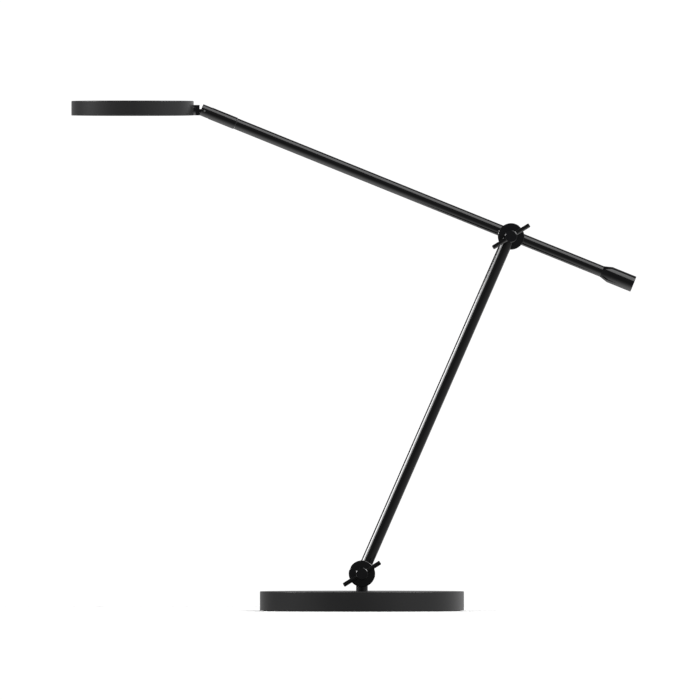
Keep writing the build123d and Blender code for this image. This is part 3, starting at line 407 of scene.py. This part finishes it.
def joint_coat(name):
    """Smooth black coat of the turned joint pieces, with their turning marks just showing."""
    choice = bpy.context.scene.lamp_finishes
    finish = Finish(name)
    grain = finish.noise(900, 2)
    smear = finish.noise(90, 2)
    return finish.done(
        Base_Color=finish.mix(smear, darker(choice.joint_coat, 0.8),
                              darker(choice.joint_coat, 1.2)),
        Roughness=0.20 + (smear - 0.5) * 0.10,
        Normal=finish.bump(grain, 0.004 * MM))


def cast_iron(name):
    """Rough cast grey iron with a thin brown bloom."""
    finish = Finish(name)
    pits = finish.noise(700, 4)
    bloom = finish.noise(45, 3)
    return finish.done(
        Base_Color=finish.mix(bloom.over(0.45, 0.75), (0.11, 0.11, 0.115), (0.13, 0.085, 0.06)),
        Roughness=0.55 + bloom * 0.2, Metallic=0.8,
        Normal=finish.bump(pits, 0.12 * MM))


def zinc_plate(name):
    """Bright zinc plate with the faint clouds of its passivation."""
    finish = Finish(name)
    cloud = finish.noise(120, 3)
    scratch = finish.noise(900, 2, finish.moved(stretch=(1, 1, 0.08)))
    return finish.done(
        Base_Color=finish.mix(cloud.over(0.35, 0.65), (0.56, 0.58, 0.60), (0.62, 0.60, 0.52)),
        Roughness=0.26 + (cloud - 0.5) * 0.12 + (scratch - 0.5) * 0.1, Metallic=1.0,
        Normal=finish.bump(scratch, 0.004 * MM))


def bush_plastic(name):
    """Dark bearing plastic, smooth from its mould."""
    finish = Finish(name)
    grain = finish.noise(1500, 2)
    return finish.done(
        Base_Color=finish.mix(grain, (0.010, 0.010, 0.011), (0.016, 0.016, 0.017)),
        Roughness=0.38 + (grain - 0.5) * 0.08, Normal=finish.bump(grain, 0.006 * MM))


def pad_rubber(name):
    """Soft black pad with a pebbled skin and pale scuffs."""
    finish = Finish(name)
    pebble = finish.cells(1400)
    scuff = finish.noise(70, 4)
    return finish.done(
        Base_Color=finish.mix(scuff.over(0.52, 0.75), (0.016, 0.016, 0.016),
                              (0.034, 0.033, 0.032)),
        Roughness=0.72 + scuff * 0.15, Normal=finish.bump(pebble, 0.05 * MM))


def friction_fibre(name):
    """Pressed fibre washer with flecks."""
    finish = Finish(name)
    fleck = finish.noise(1600, 3)
    return finish.done(
        Base_Color=finish.mix(fleck.over(0.4, 0.65), (0.085, 0.055, 0.035),
                              (0.21, 0.16, 0.11)),
        Roughness=0.7 + (fleck - 0.5) * 0.2, Normal=finish.bump(fleck, 0.03 * MM))


def moulded_plastic(name):
    """Black moulded plastic with a fine eroded texture."""
    finish = Finish(name)
    grain = finish.noise(2600, 2)
    return finish.done(
        Base_Color=finish.mix(grain, (0.009, 0.009, 0.009), (0.017, 0.017, 0.017)),
        Roughness=0.46 + (grain - 0.5) * 0.12, Normal=finish.bump(grain, 0.015 * MM))


def button_plastic(name):
    """Satin button, polished in the middle by fingers."""
    finish = Finish(name)
    grain = finish.noise(2200, 2)
    worn = finish.noise(160, 2)
    return finish.done(
        Base_Color=finish.mix(grain, (0.012, 0.012, 0.0125), (0.020, 0.020, 0.0205)),
        Roughness=0.34 + (worn - 0.5) * 0.14, Normal=finish.bump(grain, 0.008 * MM))


def transformer_tape(name):
    """Yellow polyester tape round the transformer's winding, with its laps showing."""
    finish = Finish(name)
    lap = finish.noise(500, 1, finish.moved(stretch=(1, 1, 0.1)))
    return finish.done(
        Base_Color=finish.mix(lap, (0.55, 0.34, 0.02), (0.70, 0.47, 0.05)),
        Roughness=0.25 + lap * 0.15, Normal=finish.bump(lap, 0.02 * MM))


def circuit_board(name):
    """Green solder mask over copper tracks, with tinned pads."""
    choice = bpy.context.scene.lamp_finishes
    finish = Finish(name)
    lengthwise = finish.noise(60, 0) > 0.5
    track = (lengthwise * (finish.bands("X", 210) > 0.72)
             + (1 - lengthwise) * (finish.bands("Y", 210) > 0.72))
    pad = finish.cells(330) < 0.22
    tracked = finish.mix(track, choice.circuit_green[:], darker(choice.circuit_green, 2.0))
    return finish.done(
        Base_Color=finish.mix(pad, tracked, (0.62, 0.60, 0.54)),
        Metallic=pad, Roughness=0.32 + pad * 0.05,
        Normal=finish.bump(track + pad, 0.03 * MM))


def component_plastic(name):
    """Dark moulded cases of the driver's parts."""
    finish = Finish(name)
    grain = finish.noise(1800, 2)
    return finish.done(
        Base_Color=finish.mix(grain, (0.020, 0.021, 0.024), (0.035, 0.036, 0.040)),
        Roughness=0.5 + (grain - 0.5) * 0.15, Normal=finish.bump(grain, 0.02 * MM))


def lead_sheath(name):
    """Grey sheath of the internal leads."""
    finish = Finish(name)
    grain = finish.noise(1200, 2)
    return finish.done(
        Base_Color=finish.mix(grain, (0.36, 0.36, 0.36), (0.42, 0.42, 0.415)),
        Roughness=0.45 + (grain - 0.5) * 0.1, Normal=finish.bump(grain, 0.01 * MM))


def bare_aluminium(name):
    """Turned aluminium, with rings round the head's middle."""
    finish = Finish(name)
    turning = finish.rings(centre_of("heat_spreader"), "Z", 260)
    return finish.done(
        Base_Color=finish.mix(turning, (0.74, 0.75, 0.76), (0.80, 0.81, 0.82)),
        Roughness=0.30 + turning * 0.08, Metallic=1.0,
        Normal=finish.bump(turning, 0.006 * MM))


def led_board_white(name):
    """White solder mask with its tracks just showing."""
    finish = Finish(name)
    track = finish.cells(120, "DISTANCE_TO_EDGE") < 0.06
    return finish.done(
        Base_Color=finish.mix(track, (0.84, 0.84, 0.83), (0.76, 0.77, 0.75)),
        Roughness=0.36 - track * 0.06, Normal=finish.bump(track, 0.02 * MM))


def led_phosphor(name):
    """Yellow silicone over the LED, with a fine phosphor grain."""
    finish = Finish(name)
    grain = finish.noise(5200, 2)
    return finish.done(
        Base_Color=finish.mix(grain, (0.80, 0.52, 0.06), (0.90, 0.66, 0.12)),
        Roughness=0.28 + grain * 0.1, Normal=finish.bump(grain, 0.01 * MM))


def reflector_white(name):
    """Bright matt white of the reflector."""
    finish = Finish(name)
    grain = finish.noise(1600, 2)
    return finish.done(
        Base_Color=finish.mix(grain, (0.84, 0.84, 0.83), (0.88, 0.88, 0.87)),
        Roughness=0.55 + (grain - 0.5) * 0.1, Normal=finish.bump(grain, 0.01 * MM))


def opal_acrylic(name):
    """Opal sheet with a satin face that hides the LEDs."""
    choice = bpy.context.scene.lamp_finishes
    finish = Finish(name)
    frost = finish.noise(3000, 2)
    cloud = finish.noise(25, 1)
    return finish.done(
        Base_Color=finish.mix(cloud, darker(choice.opal_white, 0.98), choice.opal_white[:]),
        Roughness=0.42 + (frost - 0.5) * 0.08, Normal=finish.bump(frost, 0.004 * MM),
        Subsurface_Weight=0.3, Subsurface_Radius=(0.004, 0.004, 0.004), Subsurface_Scale=1.0,
        IOR=1.49)


FINISHES = {
    "base_shell": satin_coat, "head_shell": satin_coat, "arm_gloss": gloss_paint,
    "bar_gloss": gloss_paint, "joint_black": joint_coat, "ballast_iron": cast_iron,
    "zinc_steel": zinc_plate, "bush_plastic": bush_plastic, "pad_rubber": pad_rubber,
    "friction_fibre": friction_fibre, "black_plastic": moulded_plastic,
    "button_plastic": button_plastic, "circuit_board": circuit_board,
    "component_plastic": component_plastic, "lead_sheath": lead_sheath,
    "bare_aluminium": bare_aluminium, "led_board_white": led_board_white,
    "led_phosphor": led_phosphor, "reflector_white": reflector_white,
    "opal_acrylic": opal_acrylic,
}


def finish_of(slot):
    """The finish of a material slot of the record, mixed when it is first wanted."""
    name = f"lamp_{slot}"
    return bpy.data.materials.get(name) or FINISHES[slot](name)


def dress(*nodes):
    """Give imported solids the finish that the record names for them."""
    for name in nodes:
        for holder in frame["nodes"][name].material_slots:
            holder.material = finish_of(SLOT_OF[name])


# ---------------------------------------------------------------- shaping pieces

def turned(profile, steps):
    """Bmesh turned about +Z from a profile of (distance from the axis, height) points."""
    mesh = bmesh.new()
    points = [mesh.verts.new((radius, 0, height)) for radius, height in profile]
    edges = [mesh.edges.new(pair) for pair in zip(points, points[1:])]
    bmesh.ops.spin(mesh, geom=points + edges, cent=(0, 0, 0), axis=(0, 0, 1), angle=2 * pi,
                   steps=steps, use_merge=True)
    bmesh.ops.remove_doubles(mesh, verts=mesh.verts, dist=NEAR / 10)
    bmesh.ops.recalc_face_normals(mesh, faces=mesh.faces)
    return mesh


def case(length, width, tall):
    """Bmesh of a case of a size in millimetres that stands on the middle of its underside."""
    mesh = bmesh.new()
    bmesh.ops.create_cube(mesh, size=MM)
    bmesh.ops.scale(mesh, vec=(length, width, tall), verts=mesh.verts)
    bmesh.ops.translate(mesh, vec=UP * tall / 2 * MM, verts=mesh.verts)
    return mesh


def soften(mesh, width, chosen=None, segments=3):
    """Round the sharp edges of a bmesh, or only the sharp ones that a test chooses."""
    edges = [edge for edge in mesh.edges
             if edge.is_manifold and edge.calc_face_angle() > SHARP
             and (chosen is None or chosen(edge.verts[0].co))]
    bmesh.ops.bevel(mesh, geom=edges, offset=width, offset_type="OFFSET", segments=segments,
                    profile=0.5, affect="EDGES", material=-1, clamp_overlap=True)
    return mesh


def placed(mesh, centre, axis=UP):
    """The bmesh with its origin put at a point of the lamp and its +Z turned to an axis."""
    turn = UP.rotation_difference(Vector(axis)).to_matrix().to_4x4()
    bmesh.ops.transform(mesh, matrix=Matrix.Translation(centre) @ turn, verts=mesh.verts)
    return mesh


def piece(name, mesh, replaced, finish=None):
    """Object from a bmesh, with its finish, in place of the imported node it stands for."""
    slot = SLOT_OF[replaced]
    data = bpy.data.meshes.new(name)
    mesh.to_mesh(data)
    mesh.free()
    data.shade_smooth()
    data.materials.append(finish or finish_of(slot))
    made = bpy.data.objects.new(name, data)
    bpy.context.scene.collection.objects.link(made)
    flat = made.modifiers.new("Flat faces stay flat", "WEIGHTED_NORMAL")
    flat.keep_sharp = True
    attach(made, BODY_OF[replaced])
    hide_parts(replaced)


class LampOperator:
    """What every step of the lamp's making shares."""

    bl_options = {"REGISTER", "UNDO"}


class LAMP_OT_base(LampOperator, bpy.types.Operator):
    """Coat the base, and mould the ribbed pad that it stands on"""

    bl_idname = "lamp.base"
    bl_label = "Base"

    def execute(self, context):
        dress("base_cover", "ballast_disc", "base_plate", "base_screws", "cord_gland",
              "lamp_lead", "dimmer_lead")
        self.mould_pad(context.scene.lamp_shapes)
        return {"FINISHED"}

    @staticmethod
    def mould_pad(shapes):
        radius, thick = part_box("base_pad")[1].xz
        depth = shapes.pad_rib_depth
        profile = [(0, thick), (radius, thick), (radius, 0)]
        groove_out = radius - 2 * shapes.pad_rib_pitch
        while groove_out > 2 * shapes.pad_rib_pitch:
            groove_in = groove_out - shapes.pad_rib_pitch / 2
            profile += [(groove_out, 0), (groove_out - depth / 2, depth),
                        (groove_in + depth / 2, depth), (groove_in, 0)]
            groove_out -= shapes.pad_rib_pitch
        profile.append((0, 0))
        mesh = turned(profile, 2 * shapes.turning_steps)
        soften(mesh, shapes.rim_edge, lambda at: at.xy.length > radius - NEAR, 2)
        piece("base_pad_ribbed", mesh, "base_pad")


class LAMP_OT_dimmer(LampOperator, bpy.types.Operator):
    """Shape the dished dimmer button, and finish the switch under it"""

    bl_idname = "lamp.dimmer"
    bl_label = "Dimmer"

    DISH_SHARES = (0.9, 0.75, 0.5, 0.25, 0)    # rings of the dish, as shares of its radius

    def execute(self, context):
        dress("switch_plunger", "tact_switch", "dimmer_board")
        shapes = context.scene.lamp_shapes
        low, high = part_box("dimmer_button")
        flange, tall = (high.x - low.x) / 2, high.z - low.z
        stem = flange - BUTTON_FLANGE_WIDTH
        dish = stem - shapes.button_rim
        profile = [(0, 0), (flange, 0), (flange, BUTTON_FLANGE_THICK),
                   (stem, BUTTON_FLANGE_THICK), (stem, tall), (dish, tall)]
        profile += [(dish * share, tall - shapes.button_dish * (1 - share ** 2))
                    for share in self.DISH_SHARES]
        mesh = turned(profile, shapes.turning_steps)
        soften(mesh, shapes.soft_edge, lambda at: at.z > tall - NEAR
               and at.xy.length > stem - NEAR)
        piece("dimmer_button_dished", placed(mesh, foot_of("dimmer_button")), "dimmer_button")
        return {"FINISHED"}


class LAMP_OT_driver(LampOperator, bpy.types.Operator):
    """Build the LED driver inside the base: terminals, transformer, choke and capacitor"""

    bl_idname = "lamp.driver"
    bl_label = "LED driver"

    # Under the board, in millimetres: distances from its middle, then length, width and drop
    TERMINALS = {
        "mains": ((-24, 9), (9, 12, 8.7)),
        "lamp": ((-24, -9), (9, 12, 8.7)),
        "dimmer": ((-8, -11), (6, 6, 8.7)),
    }
    TRANSFORMER = ((5, 0), (18, 16, 9))
    CORE_WIDTH = 0.62                   # the core and the winding as shares of the transformer
    WINDING_LENGTH, WINDING_DROP = 0.66, 0.9
    CHOKE = ((22, -8), (10, 10, 7))
    CAPACITOR = ((16, 8), (4, 14))      # where its foot is, then its radius and length

    WELL_WALL, WELL_TAPER, WELL_DEPTH = 1.2 * MM, 0.1 * MM, 2.5 * MM
    TERMINAL_EDGE, CORE_EDGE, WINDING_EDGE = 0.15 * MM, 0.4 * MM, 1.6 * MM
    DRUM_FLANGE, DRUM_WAIST, DRUM_EDGE = 1.2 * MM, 1.1 * MM, 0.25 * MM
    CRIMP_START, CRIMP_STEP, CRIMP_DEPTH = 1.6 * MM, 0.5 * MM, 0.35 * MM
    CAN_LIP, CAN_EDGE = 0.8 * MM, 0.2 * MM

    def execute(self, context):
        dress("driver_board")
        steps = context.scene.lamp_shapes.turning_steps // 2
        board = foot_of("driver_board")
        for name, (place, size) in self.TERMINALS.items():
            self.hang(f"{name}_terminal", self.terminal(*size), board, place)
        place, (length, width, drop) = self.TRANSFORMER
        self.hang("transformer_core", soften(
            case(length, width * self.CORE_WIDTH, drop), self.CORE_EDGE), board, place)
        self.hang("transformer_winding", soften(
            case(length * self.WINDING_LENGTH, width, drop * self.WINDING_DROP),
            self.WINDING_EDGE), board, place, transformer_tape("winding_tape"))
        place, (length, width, drop) = self.CHOKE
        self.hang("choke", self.drum(length / 2 * MM, drop * MM, steps), board, place)
        self.lay_capacitor(board, steps)
        return {"FINISHED"}

    @staticmethod
    def hang(name, mesh, board, place, finish=None):
        """Hang a driver part from the underside of the board."""
        spot = board + Vector((*place, 0)) * MM
        piece(f"driver_{name}", placed(mesh, spot, -UP), "driver_components", finish)

    def terminal(self, length, width, drop):
        """Terminal block with two screw wells in the face away from the board."""
        mesh = case(length, width, drop)
        across = [edge for edge in mesh.edges
                  if abs(edge.verts[0].co.y - edge.verts[1].co.y) > NEAR]
        bmesh.ops.subdivide_edges(mesh, edges=across, cuts=1, use_grid_fill=True)
        wells = [face for face in mesh.faces if face.calc_center_median().z > drop * MM - NEAR]
        bmesh.ops.inset_individual(mesh, faces=wells, thickness=self.WELL_WALL, depth=0)
        bmesh.ops.inset_individual(mesh, faces=wells, thickness=self.WELL_TAPER,
                                   depth=-self.WELL_DEPTH)
        return soften(mesh, self.TERMINAL_EDGE, segments=2)

    def drum(self, radius, tall, steps):
        """Choke: a ferrite drum with its winding between two flanges."""
        waist, upper = radius - self.DRUM_WAIST, tall - self.DRUM_FLANGE
        mesh = turned([(0, 0), (radius, 0), (radius, self.DRUM_FLANGE),
                       (waist, self.DRUM_FLANGE), (waist, upper), (radius, upper),
                       (radius, tall), (0, tall)], steps)
        return soften(mesh, self.DRUM_EDGE, segments=2)

    def lay_capacitor(self, board, steps):
        """Capacitor on its side, with the crimp near its foot and a rolled end."""
        place, (radius, length) = self.CAPACITOR
        radius, length = radius * MM, length * MM
        crimp, lip = self.CRIMP_START, radius - self.CAN_LIP
        mesh = turned([(0, 0), (radius, 0), (radius, crimp),
                       (radius - self.CRIMP_DEPTH, crimp + self.CRIMP_STEP),
                       (radius, crimp + 2 * self.CRIMP_STEP), (radius, length), (lip, length),
                       (lip, length - self.CRIMP_DEPTH), (0, length - self.CRIMP_DEPTH)], steps)
        soften(mesh, self.CAN_EDGE, segments=2)
        spot = board + Vector((*place, 0)) * MM - UP * radius
        piece("driver_capacitor", placed(mesh, spot, (1, 0, 0)), "driver_components")


class LAMP_OT_post(LampOperator, bpy.types.Operator):
    """Finish the swivel post and the fork on it"""

    bl_idname = "lamp.post"
    bl_label = "Post and fork"

    def execute(self, context):
        dress("swivel_bush", "post_shaft", "lower_fork", "stop_washer", "post_nut",
              "lower_clamp_stud", "lower_friction_washers")
        return {"FINISHED"}


class LAMP_OT_clamps(LampOperator, bpy.types.Operator):
    """Finish the two T-handle clamps, and dome the ends of their cross bars"""

    bl_idname = "lamp.clamps"
    bl_label = "Clamps"

    def execute(self, context):
        dress("lower_clamp_nut", "upper_clamp_nut")
        shapes = context.scene.lamp_shapes
        along = Vector((cos(BAR_RISE), 0, sin(BAR_RISE)))
        for bar in ("lower_clamp_bar", "upper_clamp_bar"):
            low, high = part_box(bar)
            radius = (high.y - low.y) / 2
            mesh = turned([(0, -BAR_HALF), (radius, -BAR_HALF), (radius, BAR_HALF),
                           (0, BAR_HALF)], shapes.turning_steps // 2)
            soften(mesh, shapes.bar_dome * radius, segments=4)
            piece(f"{bar}_domed", placed(mesh, centre_of(bar), along), bar)
        return {"FINISHED"}


class LAMP_OT_arms(LampOperator, bpy.types.Operator):
    """Paint the two tubes and finish the joint between them"""

    bl_idname = "lamp.arms"
    bl_label = "Arms"

    def execute(self, context):
        dress("lower_arm_foot", "lower_arm_tube", "lower_arm_head", "lower_arm_lead",
              "upper_friction_washer", "upper_clamp_stud", "upper_arm_plate",
              "upper_arm_tube", "upper_arm_lead")
        return {"FINISHED"}


class LAMP_OT_counterweight(LampOperator, bpy.types.Operator):
    """Turn the coned counterweight, with the lathe's centre left in its end"""

    bl_idname = "lamp.counterweight"
    bl_label = "Counterweight"

    def execute(self, context):
        dress("counterweight_screw")
        shapes = context.scene.lamp_shapes
        mesh = turned([(0, SPIGOT_START), (TUBE_BORE, SPIGOT_START), (TUBE_BORE, TUBE_END),
                       (TUBE_OUTSIDE, TUBE_END), (WEIGHT_RADIUS, CONE_END),
                       (WEIGHT_RADIUS, WEIGHT_END), (shapes.lathe_centre_radius, WEIGHT_END),
                       (0, WEIGHT_END - shapes.lathe_centre_depth)], shapes.turning_steps)
        soften(mesh, shapes.soft_edge, lambda at: at.z > WEIGHT_END - NEAR
               and at.xy.length > WEIGHT_RADIUS - NEAR)
        piece("counterweight_turned", placed(mesh, UPPER_AXIS, UPPER_DIR), "counterweight")
        return {"FINISHED"}


class LAMP_OT_hinge(LampOperator, bpy.types.Operator):
    """Finish the roll sleeve and the head's hinge"""

    bl_idname = "lamp.hinge"
    bl_label = "Sleeve and hinge"

    def execute(self, context):
        dress("roll_sleeve", "roll_bush", "roll_washer", "roll_clip", "tilt_pin",
              "tilt_washers", "head_blade", "blade_nut", "head_lead")
        return {"FINISHED"}


class LAMP_OT_head(LampOperator, bpy.types.Operator):
    """Turn the round head, and finish its LEDs and its diffuser"""

    bl_idname = "lamp.head"
    bl_label = "Head"

    def execute(self, context):
        dress("heat_spreader", "led_board", "led_chips", "head_screws", "reflector_ring",
              "diffuser", "diffuser_ring")
        shapes = context.scene.lamp_shapes
        low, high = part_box("head_housing")
        radius, tall = (high.x - low.x) / 2, high.z - low.z
        inside, ceiling = radius - HEAD_WALL, tall - HEAD_WALL
        mesh = turned([(0, tall), (radius, tall), (radius, 0), (inside, 0), (inside, ceiling),
                       (0, ceiling)], 2 * shapes.turning_steps)
        soften(mesh, shapes.head_edge, lambda at: at.z > tall - NEAR, 5)
        soften(mesh, shapes.rim_edge, lambda at: at.z < NEAR)
        piece("head_housing_turned", placed(mesh, foot_of("head_housing")), "head_housing")
        return {"FINISHED"}


class LAMP_OT_stage(LampOperator, bpy.types.Operator):
    """Stand the lamp on a pale floor in soft light, and set up the camera"""

    bl_idname = "lamp.stage"
    bl_label = "Stage"

    def execute(self, context):
        studio = context.scene.lamp_studio
        self.lay_floor(studio)
        self.light_room(context.scene, studio)
        for name, box in SOFT_BOXES.items():
            self.hang_light(name, Vector(studio.aim), getattr(studio, name), *box)
        self.set_camera(context.scene, studio)
        return {"FINISHED"}

    @staticmethod
    def lay_floor(studio):
        """Pale sheet that is seen from above and lets the room below light the lamp."""
        mesh = bmesh.new()
        bmesh.ops.create_circle(mesh, cap_ends=True, segments=96, radius=studio.floor_radius)
        bmesh.ops.translate(mesh, vec=-UP * studio.floor_drop, verts=mesh.verts)
        data = bpy.data.meshes.new("floor")
        mesh.to_mesh(data)
        mesh.free()
        finish = Finish("pale_floor")
        shade = finish.noise(3, 2)
        data.materials.append(finish.done(
            one_sided=True, Roughness=0.7 + (shade - 0.5) * 0.1,
            Base_Color=finish.mix(shade, (0.86, 0.86, 0.86), (0.90, 0.90, 0.90))))
        floor = bpy.data.objects.new("floor", data)
        bpy.context.scene.collection.objects.link(floor)
        floor.visible_glossy = floor.visible_diffuse = floor.visible_shadow = False

    @staticmethod
    def light_room(scene, studio):
        """White paper behind the lamp for the camera, and a dim soft room for all else."""
        world = bpy.data.worlds.new("studio_room")
        world.use_nodes = True
        mixing = Mixing(world.node_tree)
        direction = mixing.node("ShaderNodeTexCoord").outputs["Generated"]

        def towards(way):
            """1 in one direction, falling to 0 square to it."""
            facing = mixing.node("ShaderNodeVectorMath", {"operation": "DOT_PRODUCT"},
                                 {0: direction, 1: Vector(way).normalized()})
            return Value(mixing, facing.outputs["Value"]).over(0, 1)

        brightness = sum(getattr(studio, side) * towards(way) ** closeness
                         for side, (way, closeness) in ROOM_SIDES.items())
        room = mixing.node("ShaderNodeBackground", None, {
            "Color": (1, 1, 1, 1), "Strength": brightness})
        paper = mixing.node("ShaderNodeBackground", None, {
            "Color": (1, 1, 1, 1), "Strength": studio.paper})
        seen = mixing.node("ShaderNodeLightPath").outputs["Is Camera Ray"]
        chosen = mixing.node("ShaderNodeMixShader", None, {
            0: seen, 1: room.outputs[0], 2: paper.outputs[0]})
        mixing.node("ShaderNodeOutputWorld", None, {"Surface": chosen.outputs[0]})
        scene.world = world
        scene.view_settings.view_transform = "Standard"

    @staticmethod
    def hang_light(name, aim, brightness, turn, rise, distance, wide, tall):
        """Soft box of a given brightness, facing the lamp and unseen itself."""
        light = bpy.data.lights.new(name, "AREA")
        light.shape = "RECTANGLE"
        light.size, light.size_y = wide, tall
        light.energy = brightness * pi * wide * tall
        box = bpy.data.objects.new(name, light)
        facing = (Matrix.Rotation(radians(turn), 4, "Z")
                  @ Matrix.Rotation(radians(90 - rise), 4, "X"))
        box.matrix_world = (Matrix.Translation(aim) @ facing
                            @ Matrix.Translation((0, 0, distance)))
        box.visible_camera = False
        bpy.context.scene.collection.objects.link(box)

    @staticmethod
    def set_camera(scene, studio):
        """Level camera in front of the lamp, far off with a long lens, as in the photograph."""
        data = bpy.data.cameras.new("camera")
        data.lens = studio.lens
        distance = studio.view_width * data.lens / data.sensor_width
        data.clip_start, data.clip_end = distance / 10, distance * 3
        camera = bpy.data.objects.new("camera", data)
        camera.matrix_world = (Matrix.Translation(Vector(studio.aim) - AWAY * distance)
                               @ Matrix.Rotation(radians(90), 4, "X"))
        bpy.context.scene.collection.objects.link(camera)
        scene.camera = camera


STEPS = (LAMP_OT_base, LAMP_OT_dimmer, LAMP_OT_driver, LAMP_OT_post, LAMP_OT_clamps,
         LAMP_OT_arms, LAMP_OT_counterweight, LAMP_OT_hinge, LAMP_OT_head, LAMP_OT_stage)


class LAMP_PT_steps(bpy.types.Panel):
    """Sidebar panel with the lamp's settings and the steps of its making"""

    bl_idname = "LAMP_PT_steps"
    bl_label = "Desk lamp"
    bl_space_type = "VIEW_3D"
    bl_region_type = "UI"
    bl_category = "Desk lamp"

    def draw(self, context):
        for group in (context.scene.lamp_finishes, context.scene.lamp_shapes,
                      context.scene.lamp_studio):
            box = self.layout.box()
            for setting in group.bl_rna.properties.keys():
                if setting not in {"rna_type", "name"}:
                    box.prop(group, setting)
        for step in STEPS:
            self.layout.operator(step.bl_idname)


GROUPS = {"lamp_finishes": LampFinishes, "lamp_shapes": LampShapes, "lamp_studio": LampStudio}
CLASSES = (*GROUPS.values(), *STEPS, LAMP_PT_steps)


def register():
    """Add the lamp's settings, steps and panel."""
    for kind in CLASSES:
        bpy.utils.register_class(kind)
    for name, group in GROUPS.items():
        setattr(bpy.types.Scene, name, PointerProperty(type=group))


def unregister():
    """Take out what register() added."""
    for name in GROUPS:
        delattr(bpy.types.Scene, name)
    for kind in reversed(CLASSES):
        bpy.utils.unregister_class(kind)


def main():
    """Make the lamp and its studio."""
    register()
    for step in STEPS:
        group, name = step.bl_idname.split(".")
        getattr(getattr(bpy.ops, group), name)()


if __name__ == "__main__":
    main()
